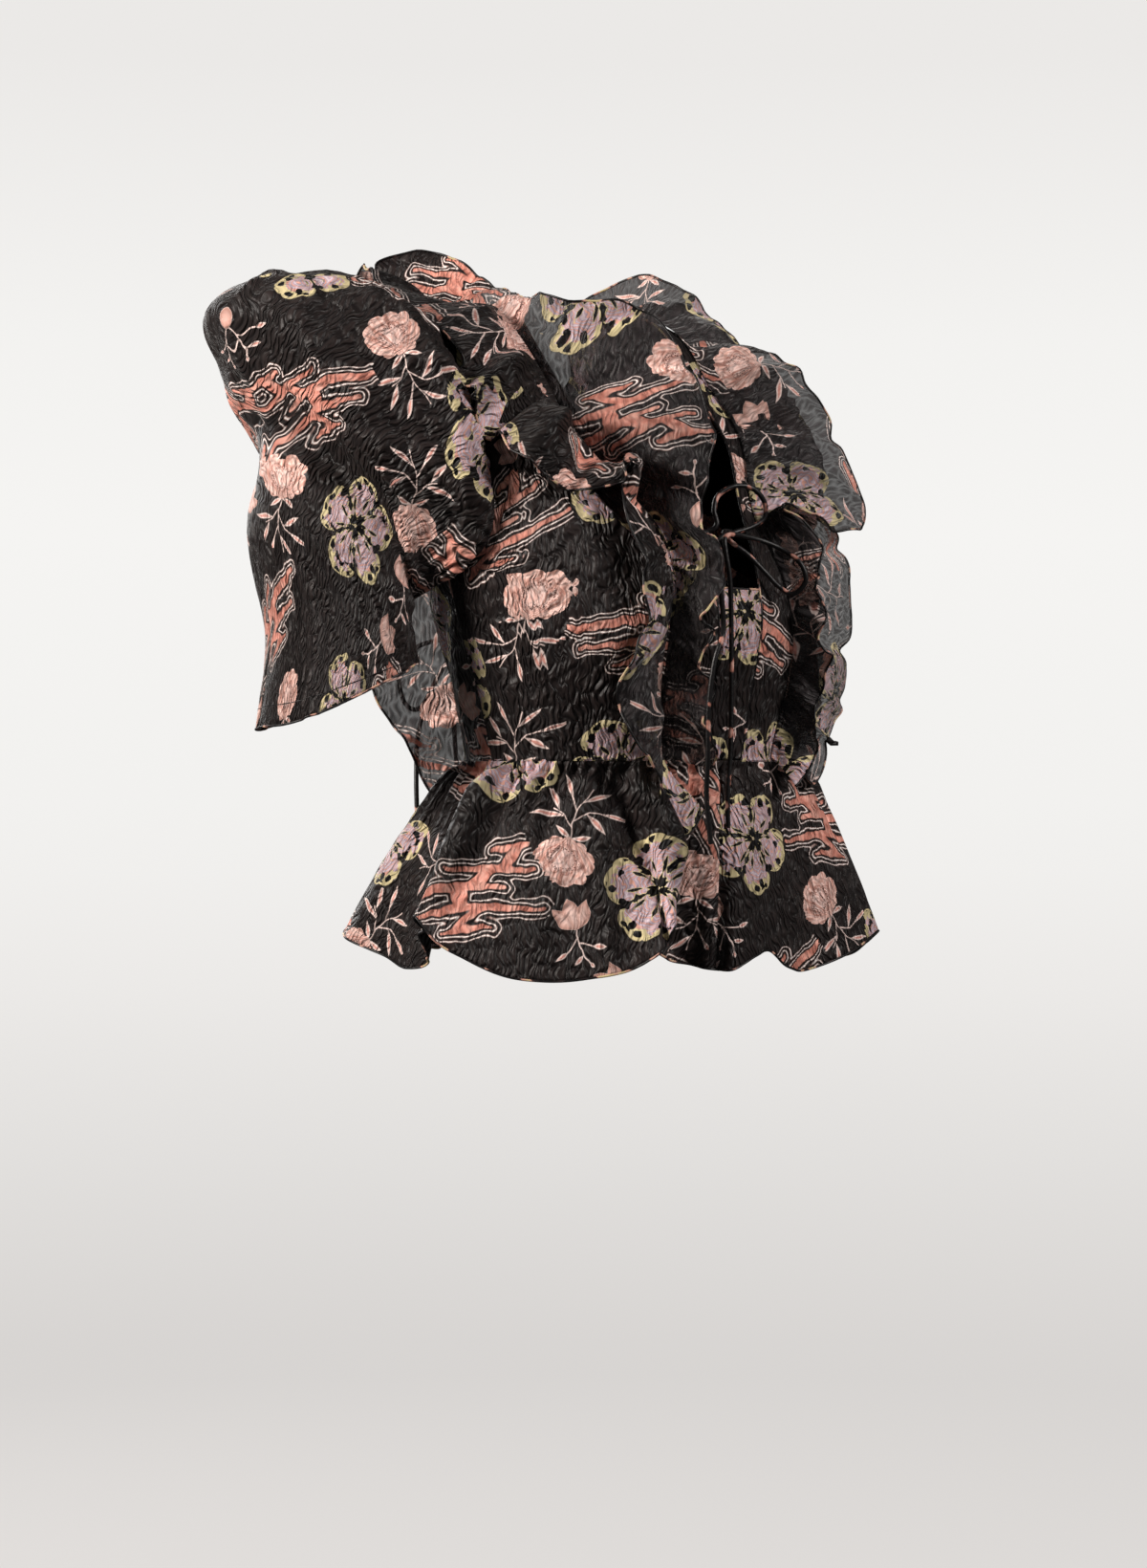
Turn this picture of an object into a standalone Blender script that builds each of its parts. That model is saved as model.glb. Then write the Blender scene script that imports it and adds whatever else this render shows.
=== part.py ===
"""A short blouse of crinkled organza: fitted bodice with an open V front and back, puffed
elbow sleeves, double ruffles down both edges of both openings, a fluted peplum and tied bows.

Lengths in the tables are millimetres. The front faces -Y, the wearer's right is -X, and the
origin is midway between the two high points of the shoulders.
"""

import math

import bpy
import numpy as np

MM = 0.001
WALL = 1.0  # thickness of every cloth wall
SEAM_GAP = 0.5  # clear space left between two pieces at a seam
LAYER = 2.4  # how far the middle of a second layer stands off the middle of the first
WAIST = 8.0  # level of the waist seam
TIE_RADIUS = 1.9
DEEPEST = 12.0  # how far behind a surface a point may lie and still be lifted off it
WIDEST = 6.0  # how far beside the nearest point of the surface it may lie

# The torso, ring by ring from the neck down to the waist seam.
# level, centre x, centre y, half width, front, back, z at the side, z in front, z behind
TORSO = [
    (0.0, 0, 0, 70, 62, 58, 0, -72, 4),
    (1.0, 0, -2, 115, 88, 78, -14, -97, -22),
    (2.0, 2, -8, 158, 106, 94, -34, -122, -58),
    (3.0, 5, -18, 166, 120, 102, -92, -152, -104),
    (4.0, 8, -30, 162, 132, 104, -150, -182, -156),
    (5.0, 10, -40, 158, 138, 103, -200, -213, -203),
    (6.0, 11, -47, 152, 135, 100, -245, -247, -246),
    (7.0, 13, -54, 143, 116, 98, -292, -292, -292),
    (8.0, 14, -58, 134, 100, 98, -343, -343, -343),
]
SQUARENESS = 2.25

# The armhole in angle and level: its middle, and how far it reaches each way.
ARMHOLE_ANGLE = 90.0
ARMHOLE_FRONT = 23.0
ARMHOLE_BACK = 30.0
ARMHOLE_TOP = 1.95
ARMHOLE_FOOT = 5.0
SLEEVE_LAP = 1.6  # degrees by which a sleeve's seam edge laps over the bodice

# Edge of the front opening from the shoulder down: share of the way, angle, level
FRONT_EDGE = [
    (0.00, 90.0, 0.00),
    (0.12, 68.0, 0.12),
    (0.24, 39.0, 0.80),
    (0.36, 22.0, 2.00),
    (0.47, 11.0, 3.55),
    (0.56, 6.6, 5.00),
    (0.64, 6.3, 5.90),
    (0.80, 6.2, 6.90),
    (1.00, 6.2, 8.00),
]
# Edge of the back opening from the shoulder down
BACK_EDGE = [
    (0.00, 90.0, 0.00),
    (0.12, 112.0, 0.12),
    (0.24, 136.0, 0.80),
    (0.36, 152.0, 2.00),
    (0.47, 162.0, 3.55),
    (0.56, 169.0, 4.90),
    (0.64, 174.5, 5.90),
    (0.72, 178.6, 6.50),
    (0.84, 179.8, 7.20),
    (1.00, 179.8, 8.00),
]
# Share of each front panel's width that lies before the princess seam
PRINCESS = [
    (0.00, 0.50),
    (0.36, 0.34),
    (0.60, 0.20),
    (1.00, 0.20),
]
INSERT_HALF = 5.9  # degrees from the middle of the front to each edge of the insert
INSERT_TOP = 5.15  # level of its top edge
# Seam that holds the front ruffles, waist to shoulder: share of the way, angle, level
FRONT_RUFFLE_SEAM = [
    (0.00, 22.0, 7.95),
    (0.20, 22.5, 6.40),
    (0.38, 18.0, 5.00),
    (0.52, 17.0, 3.50),
    (0.68, 29.0, 2.05),
    (0.84, 48.0, 0.90),
    (1.00, 88.0, 0.18),
]
# Seam that holds the back ruffles, shoulder to waist
BACK_RUFFLE_SEAM = [
    (0.00, 92.0, 0.18),
    (0.16, 128.0, 0.95),
    (0.32, 147.0, 2.05),
    (0.48, 157.0, 3.50),
    (0.64, 166.0, 5.00),
    (0.80, 171.0, 6.50),
    (1.00, 172.0, 7.95),
]

# Sleeve rings from the armhole to the hem: share of the way, the outer point, the point at
# the underarm, half the depth, how far the middle lies behind, z of the front and of the back.
# x is measured away from the middle of the body.
SLEEVE_RIGHT = [
    # along, ox, oy, oz, ix, iy, iz, half depth, shift y, front z, back z
    (0.00, 158, -4, -34, 158, -14, -200, 70, 0, -104, -112),
    (0.10, 176, 4, -2, 161, -36, -212, 78, 2, -98, -96),
    (0.22, 206, 22, 14, 162, -28, -222, 84, 12, -100, -82),
    (0.33, 242, 38, 12, 163, -18, -231, 86, 18, -110, -68),
    (0.42, 268, 46, -6, 163, -10, -238, 84, 18, -124, -66),
    (0.52, 258, 46, -52, 162, -5, -244, 77, 15, -148, -108),
    (0.62, 236, 38, -100, 160, 2, -249, 68, 10, -176, -146),
    (0.74, 251, 34, -165, 159, 6, -254, 69, 8, -200, -204),
    (0.88, 244, 25, -245, 158, 7, -262, 63, 5, -246, -266),
    (1.00, 258, 22, -318, 152, 8, -267, 62, 4, -285, -312),
]
SLEEVE_LEFT = [
    (0.00, 168, -4, -34, 168, -14, -200, 70, 0, -104, -112),
    (0.10, 178, 4, -24, 172, -37, -213, 74, 2, -108, -110),
    (0.22, 195, 20, -18, 173, -26, -219, 78, 10, -118, -108),
    (0.33, 217, 34, -30, 174, -17, -227, 80, 16, -128, -112),
    (0.44, 238, 42, -56, 174, -9, -235, 79, 16, -140, -122),
    (0.55, 250, 42, -98, 172, -3, -242, 75, 14, -158, -144),
    (0.66, 252, 37, -142, 170, 5, -249, 70, 10, -180, -178),
    (0.78, 254, 32, -200, 168, 6, -256, 67, 8, -214, -222),
    (0.90, 257, 26, -262, 165, 7, -262, 64, 6, -252, -272),
    (1.00, 261, 22, -318, 160, 8, -267, 62, 4, -285, -312),
]

# Peplum hem, right side from the front round to the back, then the left side.
# angle at the waist, x, y, z of the hem below it
PEPLUM_RIGHT = [
    (0.3, 0, -159, -495),
    (8.0, -8, -148, -492),
    (14.0, -22, -141, -488),
    (18.0, -39, -150, -478),
    (21.0, -50, -183, -461),
    (24.5, -66, -185, -477),
    (29.0, -78, -167, -491),
    (38.0, -103, -146, -499),
    (50.0, -131, -125, -501),
    (61.0, -153, -104, -496),
    (69.0, -168, -84, -485),
    (75.0, -181, -67, -473),
    (80.0, -187, -49, -455),
    (84.0, -172, -33, -467),
    (90.0, -153, -23, -488),
    (99.0, -151, 6, -496),
    (108.0, -147, 39, -488),
    (118.0, -152, 80, -476),
    (128.0, -124, 110, -470),
    (138.0, -88, 92, -480),
    (148.0, -66, 78, -486),
    (158.0, -50, 104, -480),
    (169.0, -20, 112, -480),
    (180.0, 4, 86, -488),
]
PEPLUM_LEFT = [
    (0.3, 2, -159, -495),
    (8.0, 9, -177, -495),
    (15.0, 33, -174, -486),
    (22.0, 52, -169, -483),
    (29.0, 70, -169, -495),
    (35.0, 85, -165, -499),
    (43.0, 113, -163, -495),
    (51.0, 146, -162, -485),
    (58.0, 181, -152, -472),
    (66.0, 203, -118, -482),
    (76.0, 203, -89, -494),
    (88.0, 170, -40, -486),
    (102.0, 186, 2, -478),
    (116.0, 172, 46, -482),
    (128.0, 140, 62, -490),
    (138.0, 128, 96, -480),
    (148.0, 104, 118, -474),
    (158.0, 72, 98, -484),
    (168.0, 42, 92, -488),
    (180.0, 8, 86, -488),
]
PEPLUM_ROUND = 0.72  # below 1 the cloth leaves the waist outward and then drops

# Free edges of the ruffles. Along is 0 at the front waist, 1 at the shoulder and 2 at the
# back waist; x, y, z is the edge, and belly lifts the middle of the strip off the torso.
RIGHT_INNER = [
    (0.00, -17, -182, -350, 5),
    (0.06, -18, -188, -336, 6),
    (0.12, -35, -190, -315, 6),
    (0.18, -26, -197, -293, 8),
    (0.25, -41, -195, -274, 8),
    (0.32, -33, -202, -253, 10),
    (0.39, -41, -203, -237, 12),
    (0.45, -25, -204, -215, 12),
    (0.50, -25, -196, -198, 15),
    (0.55, -29, -187, -182, 19),
    (0.60, -31, -186, -164, 24),
    (0.65, -26, -184, -143, 28),
    (0.71, -13, -174, -107, 30),
    (0.76, -8, -158, -73, 30),
    (0.80, -12, -142, -44, 28),
    (0.83, -22, -125, -15, 26),
    (0.86, -40, -108, -6, 20),
    (0.88, -54, -90, -6, 12),
    (0.90, -65, -76, -4, 8),
    (0.92, -70, -60, -1, 7),
    (0.94, -69, -44, 2, 7),
    (0.97, -64, -27, 6, 8),
    (1.03, -61, -5, 9, 10),
    (1.12, -60, 25, 23, 14),
    (1.21, -67, 56, 42, 16),
    (1.27, -78, 85, 50, 18),
    (1.34, -62, 118, 26, 18),
    (1.42, -30, 120, -24, 20),
    (1.50, -34, 132, -74, 20),
    (1.60, -6, 128, -130, 18),
    (1.70, -18, 134, -182, 16),
    (1.78, 0, 118, -230, 14),
    (1.86, -14, 108, -272, 12),
    (1.94, -4, 88, -312, 10),
    (2.00, -12, 72, -350, 8),
]
RIGHT_OUTER = [
    (0.00, -22, -180, -379, 3),
    (0.04, -40, -178, -397, 4),
    (0.07, -53, -176, -381, 5),
    (0.11, -62, -175, -355, 6),
    (0.15, -76, -169, -335, 8),
    (0.20, -87, -165, -314, 10),
    (0.25, -91, -163, -292, 12),
    (0.30, -84, -170, -274, 12),
    (0.35, -81, -174, -256, 12),
    (0.40, -74, -178, -241, 10),
    (0.44, -77, -173, -220, 12),
    (0.48, -79, -172, -196, 14),
    (0.52, -87, -167, -162, 22),
    (0.56, -77, -170, -126, 30),
    (0.59, -79, -158, -141, 26),
    (0.62, -97, -148, -148, 26),
    (0.66, -118, -136, -146, 26),
    (0.70, -131, -120, -134, 28),
    (0.73, -146, -110, -122, 30),
    (0.76, -148, -98, -106, 28),
    (0.79, -154, -85, -106, 28),
    (0.83, -159, -75, -88, 28),
    (0.87, -161, -68, -70, 26),
    (0.91, -154, -67, -54, 22),
    (0.95, -156, -52, -38, 18),
    (0.99, -156, -26, -23, 14),
    (1.03, -156, 0, -11, 14),
    (1.07, -155, 28, 1, 14),
    (1.12, -150, 54, 19, 16),
    (1.18, -129, 69, 33, 18),
    (1.25, -134, 98, 6, 20),
    (1.33, -114, 114, -42, 18),
    (1.42, -116, 128, -86, 22),
    (1.52, -92, 126, -136, 20),
    (1.61, -106, 132, -186, 22),
    (1.70, -82, 128, -236, 20),
    (1.78, -103, 110, -288, 18),
    (1.84, -94, 100, -313, 14),
    (1.90, -82, 90, -338, 12),
    (1.96, -72, 76, -368, 10),
    (2.00, -58, 66, -376, 8),
]
LEFT_UPPER = [
    (0.00, 76, -171, -361, 3),
    (0.06, 86, -179, -343, 5),
    (0.12, 77, -184, -312, 6),
    (0.20, 85, -192, -285, 6),
    (0.27, 72, -196, -259, 8),
    (0.34, 81, -198, -233, 8),
    (0.40, 69, -199, -209, 10),
    (0.45, 80, -195, -182, 10),
    (0.50, 61, -176, -153, 12),
    (0.54, 84, -181, -162, 18),
    (0.58, 135, -165, -169, 24),
    (0.62, 165, -152, -164, 26),
    (0.66, 173, -145, -145, 26),
    (0.70, 170, -136, -119, 26),
    (0.75, 165, -119, -87, 24),
    (0.80, 159, -101, -57, 22),
    (0.85, 148, -82, -35, 20),
    (0.90, 142, -64, -21, 18),
    (0.95, 135, -42, -5, 16),
    (1.00, 125, -24, 6, 16),
    (1.05, 117, 0, 27, 16),
    (1.10, 113, 23, 38, 16),
    (1.16, 113, 49, 45, 16),
    (1.22, 104, 78, 36, 18),
    (1.30, 78, 104, 6, 20),
    (1.38, 92, 114, -38, 20),
    (1.47, 60, 122, -84, 20),
    (1.56, 78, 126, -132, 20),
    (1.65, 50, 124, -180, 18),
    (1.74, 64, 116, -228, 16),
    (1.83, 40, 104, -278, 14),
    (1.92, 48, 84, -324, 10),
    (2.00, 30, 66, -358, 8),
]
LEFT_LOWER = [
    (0.00, 94, -158, -350, 4),
    (0.04, 125, -144, -359, 8),
    (0.08, 154, -135, -327, 12),
    (0.12, 144, -134, -327, 12),
    (0.17, 153, -129, -303, 14),
    (0.24, 164, -127, -268, 16),
    (0.31, 169, -128, -235, 16),
    (0.38, 170, -130, -206, 16),
    (0.44, 166, -132, -179, 14),
    (0.50, 146, -135, -160, 10),
    (0.56, 136, -127, -145, 8),
    (0.62, 146, -129, -123, 8),
    (0.70, 146, -116, -93, 8),
    (0.78, 139, -97, -63, 8),
    (0.86, 135, -74, -39, 8),
    (0.94, 131, -44, -17, 6),
    (1.00, 121, -21, -2, 6),
    (1.08, 115, 8, 17, 6),
    (1.16, 108, 52, 14, 6),
    (1.22, 124, 66, -8, 8),
    (1.30, 116, 88, -36, 8),
    (1.39, 126, 98, -78, 10),
    (1.48, 102, 108, -126, 10),
    (1.57, 114, 112, -176, 12),
    (1.66, 90, 110, -224, 12),
    (1.75, 100, 100, -270, 12),
    (1.84, 72, 90, -314, 10),
    (1.92, 72, 74, -348, 8),
    (2.00, 52, 58, -374, 6),
]

# Along the right inner ruffle, and how far it lies off the outer one: clear of it in front,
# where it stands by itself, and on top of it from the shoulder on.
INNER_LIFT = [(0.86, 0.90, 1.02), (-DEEPEST, 0.0, 2 * LAYER)]

# Routes of the ties, each from the edge of its opening to its free end.
FRONT_TIE_RIGHT = [
    (-33, -163, -181),
    (-25, -169, -178),
    (-14, -173, -177),
    (-8, -177, -172),
    (-8, -174, -161),
    (-2, -172, -150),
    (10, -176, -143),
    (24, -180, -144),
    (35, -181, -153),
    (37, -179, -165),
    (27, -176, -172),
    (14, -174, -176),
    (1, -173, -180),
    (-8, -176, -188),
    (-10, -182, -202),
    (-13, -187, -220),
    (-23, -200, -238),
    (-35, -213, -254),
    (-43, -213, -273),
    (-45, -209, -306),
    (-42, -205, -340),
    (-38, -199, -370),
    (-32, -197, -403),
]
FRONT_TIE_LEFT = [
    (41, -152, -178),
    (29, -157, -176),
    (18, -161, -175),
    (10, -165, -176),
    (11, -171, -183),
    (23, -176, -192),
    (34, -183, -205),
    (43, -189, -216),
    (50, -196, -221),
    (55, -204, -212),
    (52, -202, -199),
    (45, -191, -189),
    (32, -185, -183),
    (16, -183, -180),
    (2, -184, -179),
    (-9, -187, -182),
    (-10, -189, -193),
    (-7, -190, -212),
    (-4, -188, -242),
    (-1, -185, -284),
    (1, -182, -332),
    (0, -180, -367),
    (2, -178, -392),
]
BACK_TIE_RIGHT = [
    (-8, 60, -242),
    (4, 70, -244),
    (12, 88, -246),
    (13, 112, -246),
    (4, 130, -244),
    (-14, 142, -246),
    (-36, 148, -254),
    (-50, 148, -272),
    (-46, 146, -296),
    (-32, 144, -300),
    (-18, 140, -276),
    (-4, 138, -256),
    (0, 146, -258),
    (-14, 150, -282),
    (-32, 146, -318),
    (-39, 140, -352),
    (-41, 136, -396),
]
BACK_TIE_LEFT = [
    (30, 60, -248),
    (24, 74, -250),
    (20, 96, -252),
    (20, 120, -252),
    (28, 134, -248),
    (46, 142, -252),
    (60, 142, -270),
    (58, 140, -292),
    (44, 138, -300),
    (30, 136, -280),
    (20, 138, -262),
    (12, 150, -266),
    (8, 152, -300),
    (8, 148, -350),
    (10, 142, -404),
]


def smooth(table, at):
    """Rows of the table met by a smooth curve, read at these values of its first column."""
    rows = np.array(table, float)
    keys, values = rows[:, 0], rows[:, 1:]
    slopes = np.gradient(values, keys, axis=0)
    at = np.clip(np.asarray(at, float), keys[0], keys[-1])
    i = np.clip(np.searchsorted(keys, at, side="right") - 1, 0, len(keys) - 2)
    step = keys[i + 1] - keys[i]
    t = ((at - keys[i]) / step)[..., None]
    step = step[..., None]
    return (
        (2 * t**3 - 3 * t**2 + 1) * values[i]
        + (t**3 - 2 * t**2 + t) * step * slopes[i]
        + (3 * t**2 - 2 * t**3) * values[i + 1]
        + (t**3 - t**2) * step * slopes[i + 1]
    )


def torso_skin(angle, level):
    """Points of the torso; the angle is 0 in front, 90 at the wearer's left, -90 at the right."""
    ring = smooth(TORSO, level)
    a = np.radians(angle)
    sine, cosine = np.sin(a), np.cos(a)
    power = 2 / SQUARENESS
    across = np.sign(sine) * np.abs(sine) ** power
    along = np.sign(cosine) * np.abs(cosine) ** power
    ahead = cosine > 0
    depth = np.where(ahead, ring[..., 3], ring[..., 4])
    end_z = np.where(ahead, ring[..., 6], ring[..., 7])
    x = ring[..., 0] + ring[..., 2] * across
    y = ring[..., 1] - depth * along
    z = ring[..., 5] * sine**2 + end_z * cosine**2
    return np.stack([x, y, z], axis=-1)


def torso(angle, level, off=0.0):
    """Points this far off the torso's skin, and the skin's outward directions there."""
    angle, level = np.broadcast_arrays(np.asarray(angle, float), np.asarray(level, float))
    level_up = np.clip(level + 0.02, 0, WAIST)
    level_down = np.clip(level - 0.02, 0, WAIST)
    d_level = torso_skin(angle, level_up) - torso_skin(angle, level_down)
    d_angle = torso_skin(angle + 0.5, level) - torso_skin(angle - 0.5, level)
    out = np.cross(d_level, d_angle)
    out /= np.linalg.norm(out, axis=-1, keepdims=True)
    return torso_skin(angle, level) + out * off, out


def cloud_of(grid, out):
    return grid.reshape(-1, 3), out.reshape(-1, 3)


def torso_cloud():
    angle, level = np.meshgrid(np.arange(-180, 180, 3.0), np.linspace(0, WAIST, 90))
    return cloud_of(*torso(angle, level))


def kept_off(points, cloud, least):
    """The points, with those nearer the surface than this moved straight out to it."""
    skin, out = cloud
    flat = points.reshape(-1, 3).copy()
    least = np.broadcast_to(least, points.shape[:-1]).reshape(-1)
    for i, p in enumerate(flat):
        near = int(((skin - p) ** 2).sum(axis=1).argmin())
        away = float((p - skin[near]) @ out[near])
        beside = float(np.linalg.norm(p - skin[near] - away * out[near]))
        if -DEEPEST < away < least[i] and beside < WIDEST:
            flat[i] = p + out[near] * (least[i] - away)
    return flat.reshape(points.shape)


def grid_normals(grid, closed=False):
    """Outward directions of a grid of points, closed round its first axis if asked."""
    if closed:
        padded = np.concatenate([grid[-1:], grid, grid[:1]])
        d_first = (padded[2:] - padded[:-2]) / 2
    else:
        d_first = np.gradient(grid, axis=0)
    d_second = np.gradient(grid, axis=1)
    out = np.cross(d_first, d_second)
    return out / np.maximum(np.linalg.norm(out, axis=-1, keepdims=True), 1e-9)


# ---------------------------------------------------------------- making objects


def cloth_material(name, colour, roughness):
    material = bpy.data.materials.new(name)
    material.use_nodes = True
    shader = material.node_tree.nodes["Principled BSDF"]
    shader.inputs["Base Color"].default_value = (*colour, 1.0)
    shader.inputs["Roughness"].default_value = roughness
    return material


def add_cloth(name, grid, material, closed=False, turned=False):
    """One piece of cloth from a grid of points in millimetres, thickened to the wall."""
    rows, columns = grid.shape[:2]
    faces = []
    for i in range(rows if closed else rows - 1):
        for j in range(columns - 1):
            after = (i + 1) % rows
            face = [i * columns + j, after * columns + j]
            face += [after * columns + j + 1, i * columns + j + 1]
            faces.append(face[::-1] if turned else face)
    mesh = bpy.data.meshes.new(name)
    mesh.from_pydata((grid.reshape(-1, 3) * MM).tolist(), [], faces)
    mesh.materials.append(material)
    mesh.shade_smooth()
    piece = bpy.data.objects.new(name, mesh)
    split = piece.modifiers.new("same diagonals on both faces", "TRIANGULATE")
    split.quad_method = "SHORTEST_DIAGONAL"
    thicken = piece.modifiers.new("wall", "SOLIDIFY")
    thicken.thickness = WALL * MM
    thicken.offset = 0.0
    thicken.use_even_offset = False
    COLLECTION.objects.link(piece)
    return piece


def add_tie(name, route, material):
    """A narrow sewn tube along the route, with both ends closed."""
    keys = np.linspace(0, 1, len(route))
    rows = [(k, *p) for k, p in zip(keys, route)]
    points = smooth(rows, np.linspace(0, 1, 3 * len(route) - 2))
    curve = bpy.data.curves.new(name, "CURVE")
    curve.dimensions = "3D"
    curve.bevel_depth = TIE_RADIUS * MM
    curve.bevel_resolution = 2
    curve.use_fill_caps = True
    line = curve.splines.new("POLY")
    line.points.add(len(points) - 1)
    for point, place in zip(line.points, points):
        point.co = (*(place * MM), 1.0)
    curve.materials.append(material)
    piece = bpy.data.objects.new(name, curve)
    COLLECTION.objects.link(piece)
    return piece


# ---------------------------------------------------------------- bodice


def armhole_edge(share, behind):
    """Angle and level down one half of the armhole, from the shoulder to the underarm."""
    turn = math.pi * np.asarray(share)
    reach = ARMHOLE_BACK if behind else ARMHOLE_FRONT
    middle = (ARMHOLE_TOP + ARMHOLE_FOOT) / 2
    half = (ARMHOLE_FOOT - ARMHOLE_TOP) / 2
    way = 1 if behind else -1
    return ARMHOLE_ANGLE + way * reach * np.sin(turn), middle - half * np.cos(turn)


def outer_edge(share, behind):
    """Angle and level of a panel's outer edge: the armhole, then the side seam."""
    share = np.asarray(share, float)
    turn = 0.62  # share of the way at which the armhole meets the side seam
    hole_angle, hole_level = armhole_edge(np.minimum(share / turn, 1), behind)
    seam_level = ARMHOLE_FOOT + (WAIST - ARMHOLE_FOOT) * (share - turn) / (1 - turn)
    on_hole = share < turn
    angle = np.where(on_hole, hole_angle, ARMHOLE_ANGLE)
    return angle, np.where(on_hole, hole_level, seam_level)


def panel(side, behind, first, last, rows, columns):
    """A bodice panel between two shares of the width from the opening to the side seam."""
    down = np.linspace(0, 1, rows)
    inner = smooth(BACK_EDGE if behind else FRONT_EDGE, down)
    outer_angle, outer_level = outer_edge(down, behind)
    gap = 0.0016 * SEAM_GAP
    start = np.array([first(s) for s in down]) + gap
    end = np.array([last(s) for s in down]) - gap
    grid_share = start[:, None] + (end - start)[:, None] * np.linspace(0, 1, columns)
    angle = inner[:, :1] + (outer_angle[:, None] - inner[:, :1]) * grid_share
    level = inner[:, 1:] + (outer_level[:, None] - inner[:, 1:]) * grid_share
    nudge = 0.1 * SEAM_GAP * (1 if behind else -1)
    near_shoulder = np.clip(1 - down[:, None] / 0.08, 0, 1)
    angle = angle + nudge * near_shoulder * 4
    points, _ = torso(side * angle, level)
    return points


def princess(share):
    return float(smooth(PRINCESS, share)[0])


def add_bodice(cloth):
    for side, name in ((-1, "right"), (1, "left")):
        flip = side > 0
        front = panel(side, False, lambda s: 0.0, princess, 18, 4)
        add_cloth("front_" + name, front, cloth, turned=flip)
        beside = panel(side, False, princess, lambda s: 1.0, 18, 8)
        add_cloth("front_side_" + name, beside, cloth, turned=flip)
        back = panel(side, True, lambda s: 0.0, lambda s: 1.0, 18, 9)
        add_cloth("back_" + name, back, cloth, turned=not flip)
    angle = np.linspace(-INSERT_HALF, INSERT_HALF, 4)
    level = np.linspace(INSERT_TOP, WAIST, 8)[:, None]
    insert, _ = torso(angle, level)
    add_cloth("front_insert", insert, cloth)


# ---------------------------------------------------------------- sleeves


def armhole_loop(count):
    """Angle and level round the armhole, from the shoulder by way of the front."""
    turn = np.linspace(0, 2 * math.pi, count, endpoint=False)
    behind = np.sin(turn) < 0
    reach = np.where(behind, ARMHOLE_BACK, ARMHOLE_FRONT) + SLEEVE_LAP
    middle = (ARMHOLE_TOP + ARMHOLE_FOOT) / 2
    half = (ARMHOLE_FOOT - ARMHOLE_TOP) / 2 + 0.05 * SLEEVE_LAP
    return ARMHOLE_ANGLE - reach * np.sin(turn), middle - half * np.cos(turn)


def sleeve_grid(side, table, around, along):
    """Points round the sleeve and down it; round starts at the top and goes by the front."""
    turn = np.linspace(0, 2 * math.pi, around, endpoint=False)[:, None]
    share = np.linspace(0, 1, along)
    ring = smooth(table, share)
    outer, under = ring[:, 0:3], ring[:, 3:6]
    half_depth, shift = ring[:, 6], ring[:, 7]
    front_z, back_z = ring[:, 8], ring[:, 9]
    middle = (outer + under) / 2
    reach = (outer - under) / 2
    x = middle[:, 0] + reach[:, 0] * np.cos(turn)
    y = middle[:, 1] + reach[:, 1] * np.cos(turn) + shift - half_depth * np.sin(turn)
    side_z = np.where(np.sin(turn) > 0, front_z, back_z)
    z = middle[:, 2] + reach[:, 2] * np.cos(turn) + (side_z - middle[:, 2]) * np.sin(turn) ** 2
    grid = np.stack([side * x, y, z], axis=-1)
    angle, level = armhole_loop(around)
    seam, _ = torso(side * angle, level, LAYER)
    blend = np.clip(1 - share / 0.16, 0, 1)[None, :, None]
    return grid * (1 - blend) + seam[:, None, :] * blend


def add_sleeves(cloth, body):
    clouds = []
    for side, name, table in ((-1, "right", SLEEVE_RIGHT), (1, "left", SLEEVE_LEFT)):
        grid = kept_off(sleeve_grid(side, table, 26, 13), body, LAYER)
        add_cloth("sleeve_" + name, grid, cloth, closed=True, turned=side < 0)
        fine = sleeve_grid(side, table, 72, 48)
        out = grid_normals(fine, closed=True) * (-1 if side < 0 else 1)
        clouds.append(cloud_of(fine, out))
    return clouds


# ---------------------------------------------------------------- peplum


def peplum_grid(side, table, first, last, around, down):
    fine = np.linspace(first, last, 400)
    steps = np.linalg.norm(np.diff(smooth(table, fine), axis=0), axis=1)
    length = np.concatenate([[0], np.cumsum(steps)])
    angle = np.interp(np.linspace(0, length[-1], around), length, fine)
    waist, _ = torso(side * angle, np.full(around, WAIST))
    waist[:, 2] -= 2 * SEAM_GAP
    hem = smooth(table, angle)
    share = np.linspace(0, 1, down)[None, :, None]
    flat = share**PEPLUM_ROUND
    grid = waist[:, None, :] + (hem - waist)[:, None, :] * np.concatenate(
        [flat, flat, share], axis=2
    )
    return grid


def add_peplum(cloth):
    gap = 0.12
    right = peplum_grid(-1, PEPLUM_RIGHT, 0.3, 90 - gap, 34, 6)
    add_cloth("peplum_front_right", right, cloth, turned=True)
    left = peplum_grid(1, PEPLUM_LEFT, 0.3, 90 - gap, 28, 6)
    add_cloth("peplum_front_left", left, cloth)
    back_right = peplum_grid(-1, PEPLUM_RIGHT, 90 + gap, 180 - gap, 28, 6)
    add_cloth("peplum_back_right", back_right, cloth, turned=True)
    back_left = peplum_grid(1, PEPLUM_LEFT, 90 + gap, 180 - gap, 28, 6)
    add_cloth("peplum_back_left", back_left, cloth)


# ---------------------------------------------------------------- ruffles


def ruffle_seam(side, along, shift):
    """Points of the ruffle seam and the torso's outward directions there."""
    along = np.asarray(along, float)
    front = smooth(FRONT_RUFFLE_SEAM, np.clip(along, 0, 1))
    back = smooth(BACK_RUFFLE_SEAM, np.clip(along - 1, 0, 1))
    share = np.clip((along - 0.97) / 0.06, 0, 1)[:, None]
    place = front * (1 - share) + back * share
    return torso(side * (place[:, 0] + shift), place[:, 1], LAYER)


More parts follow.
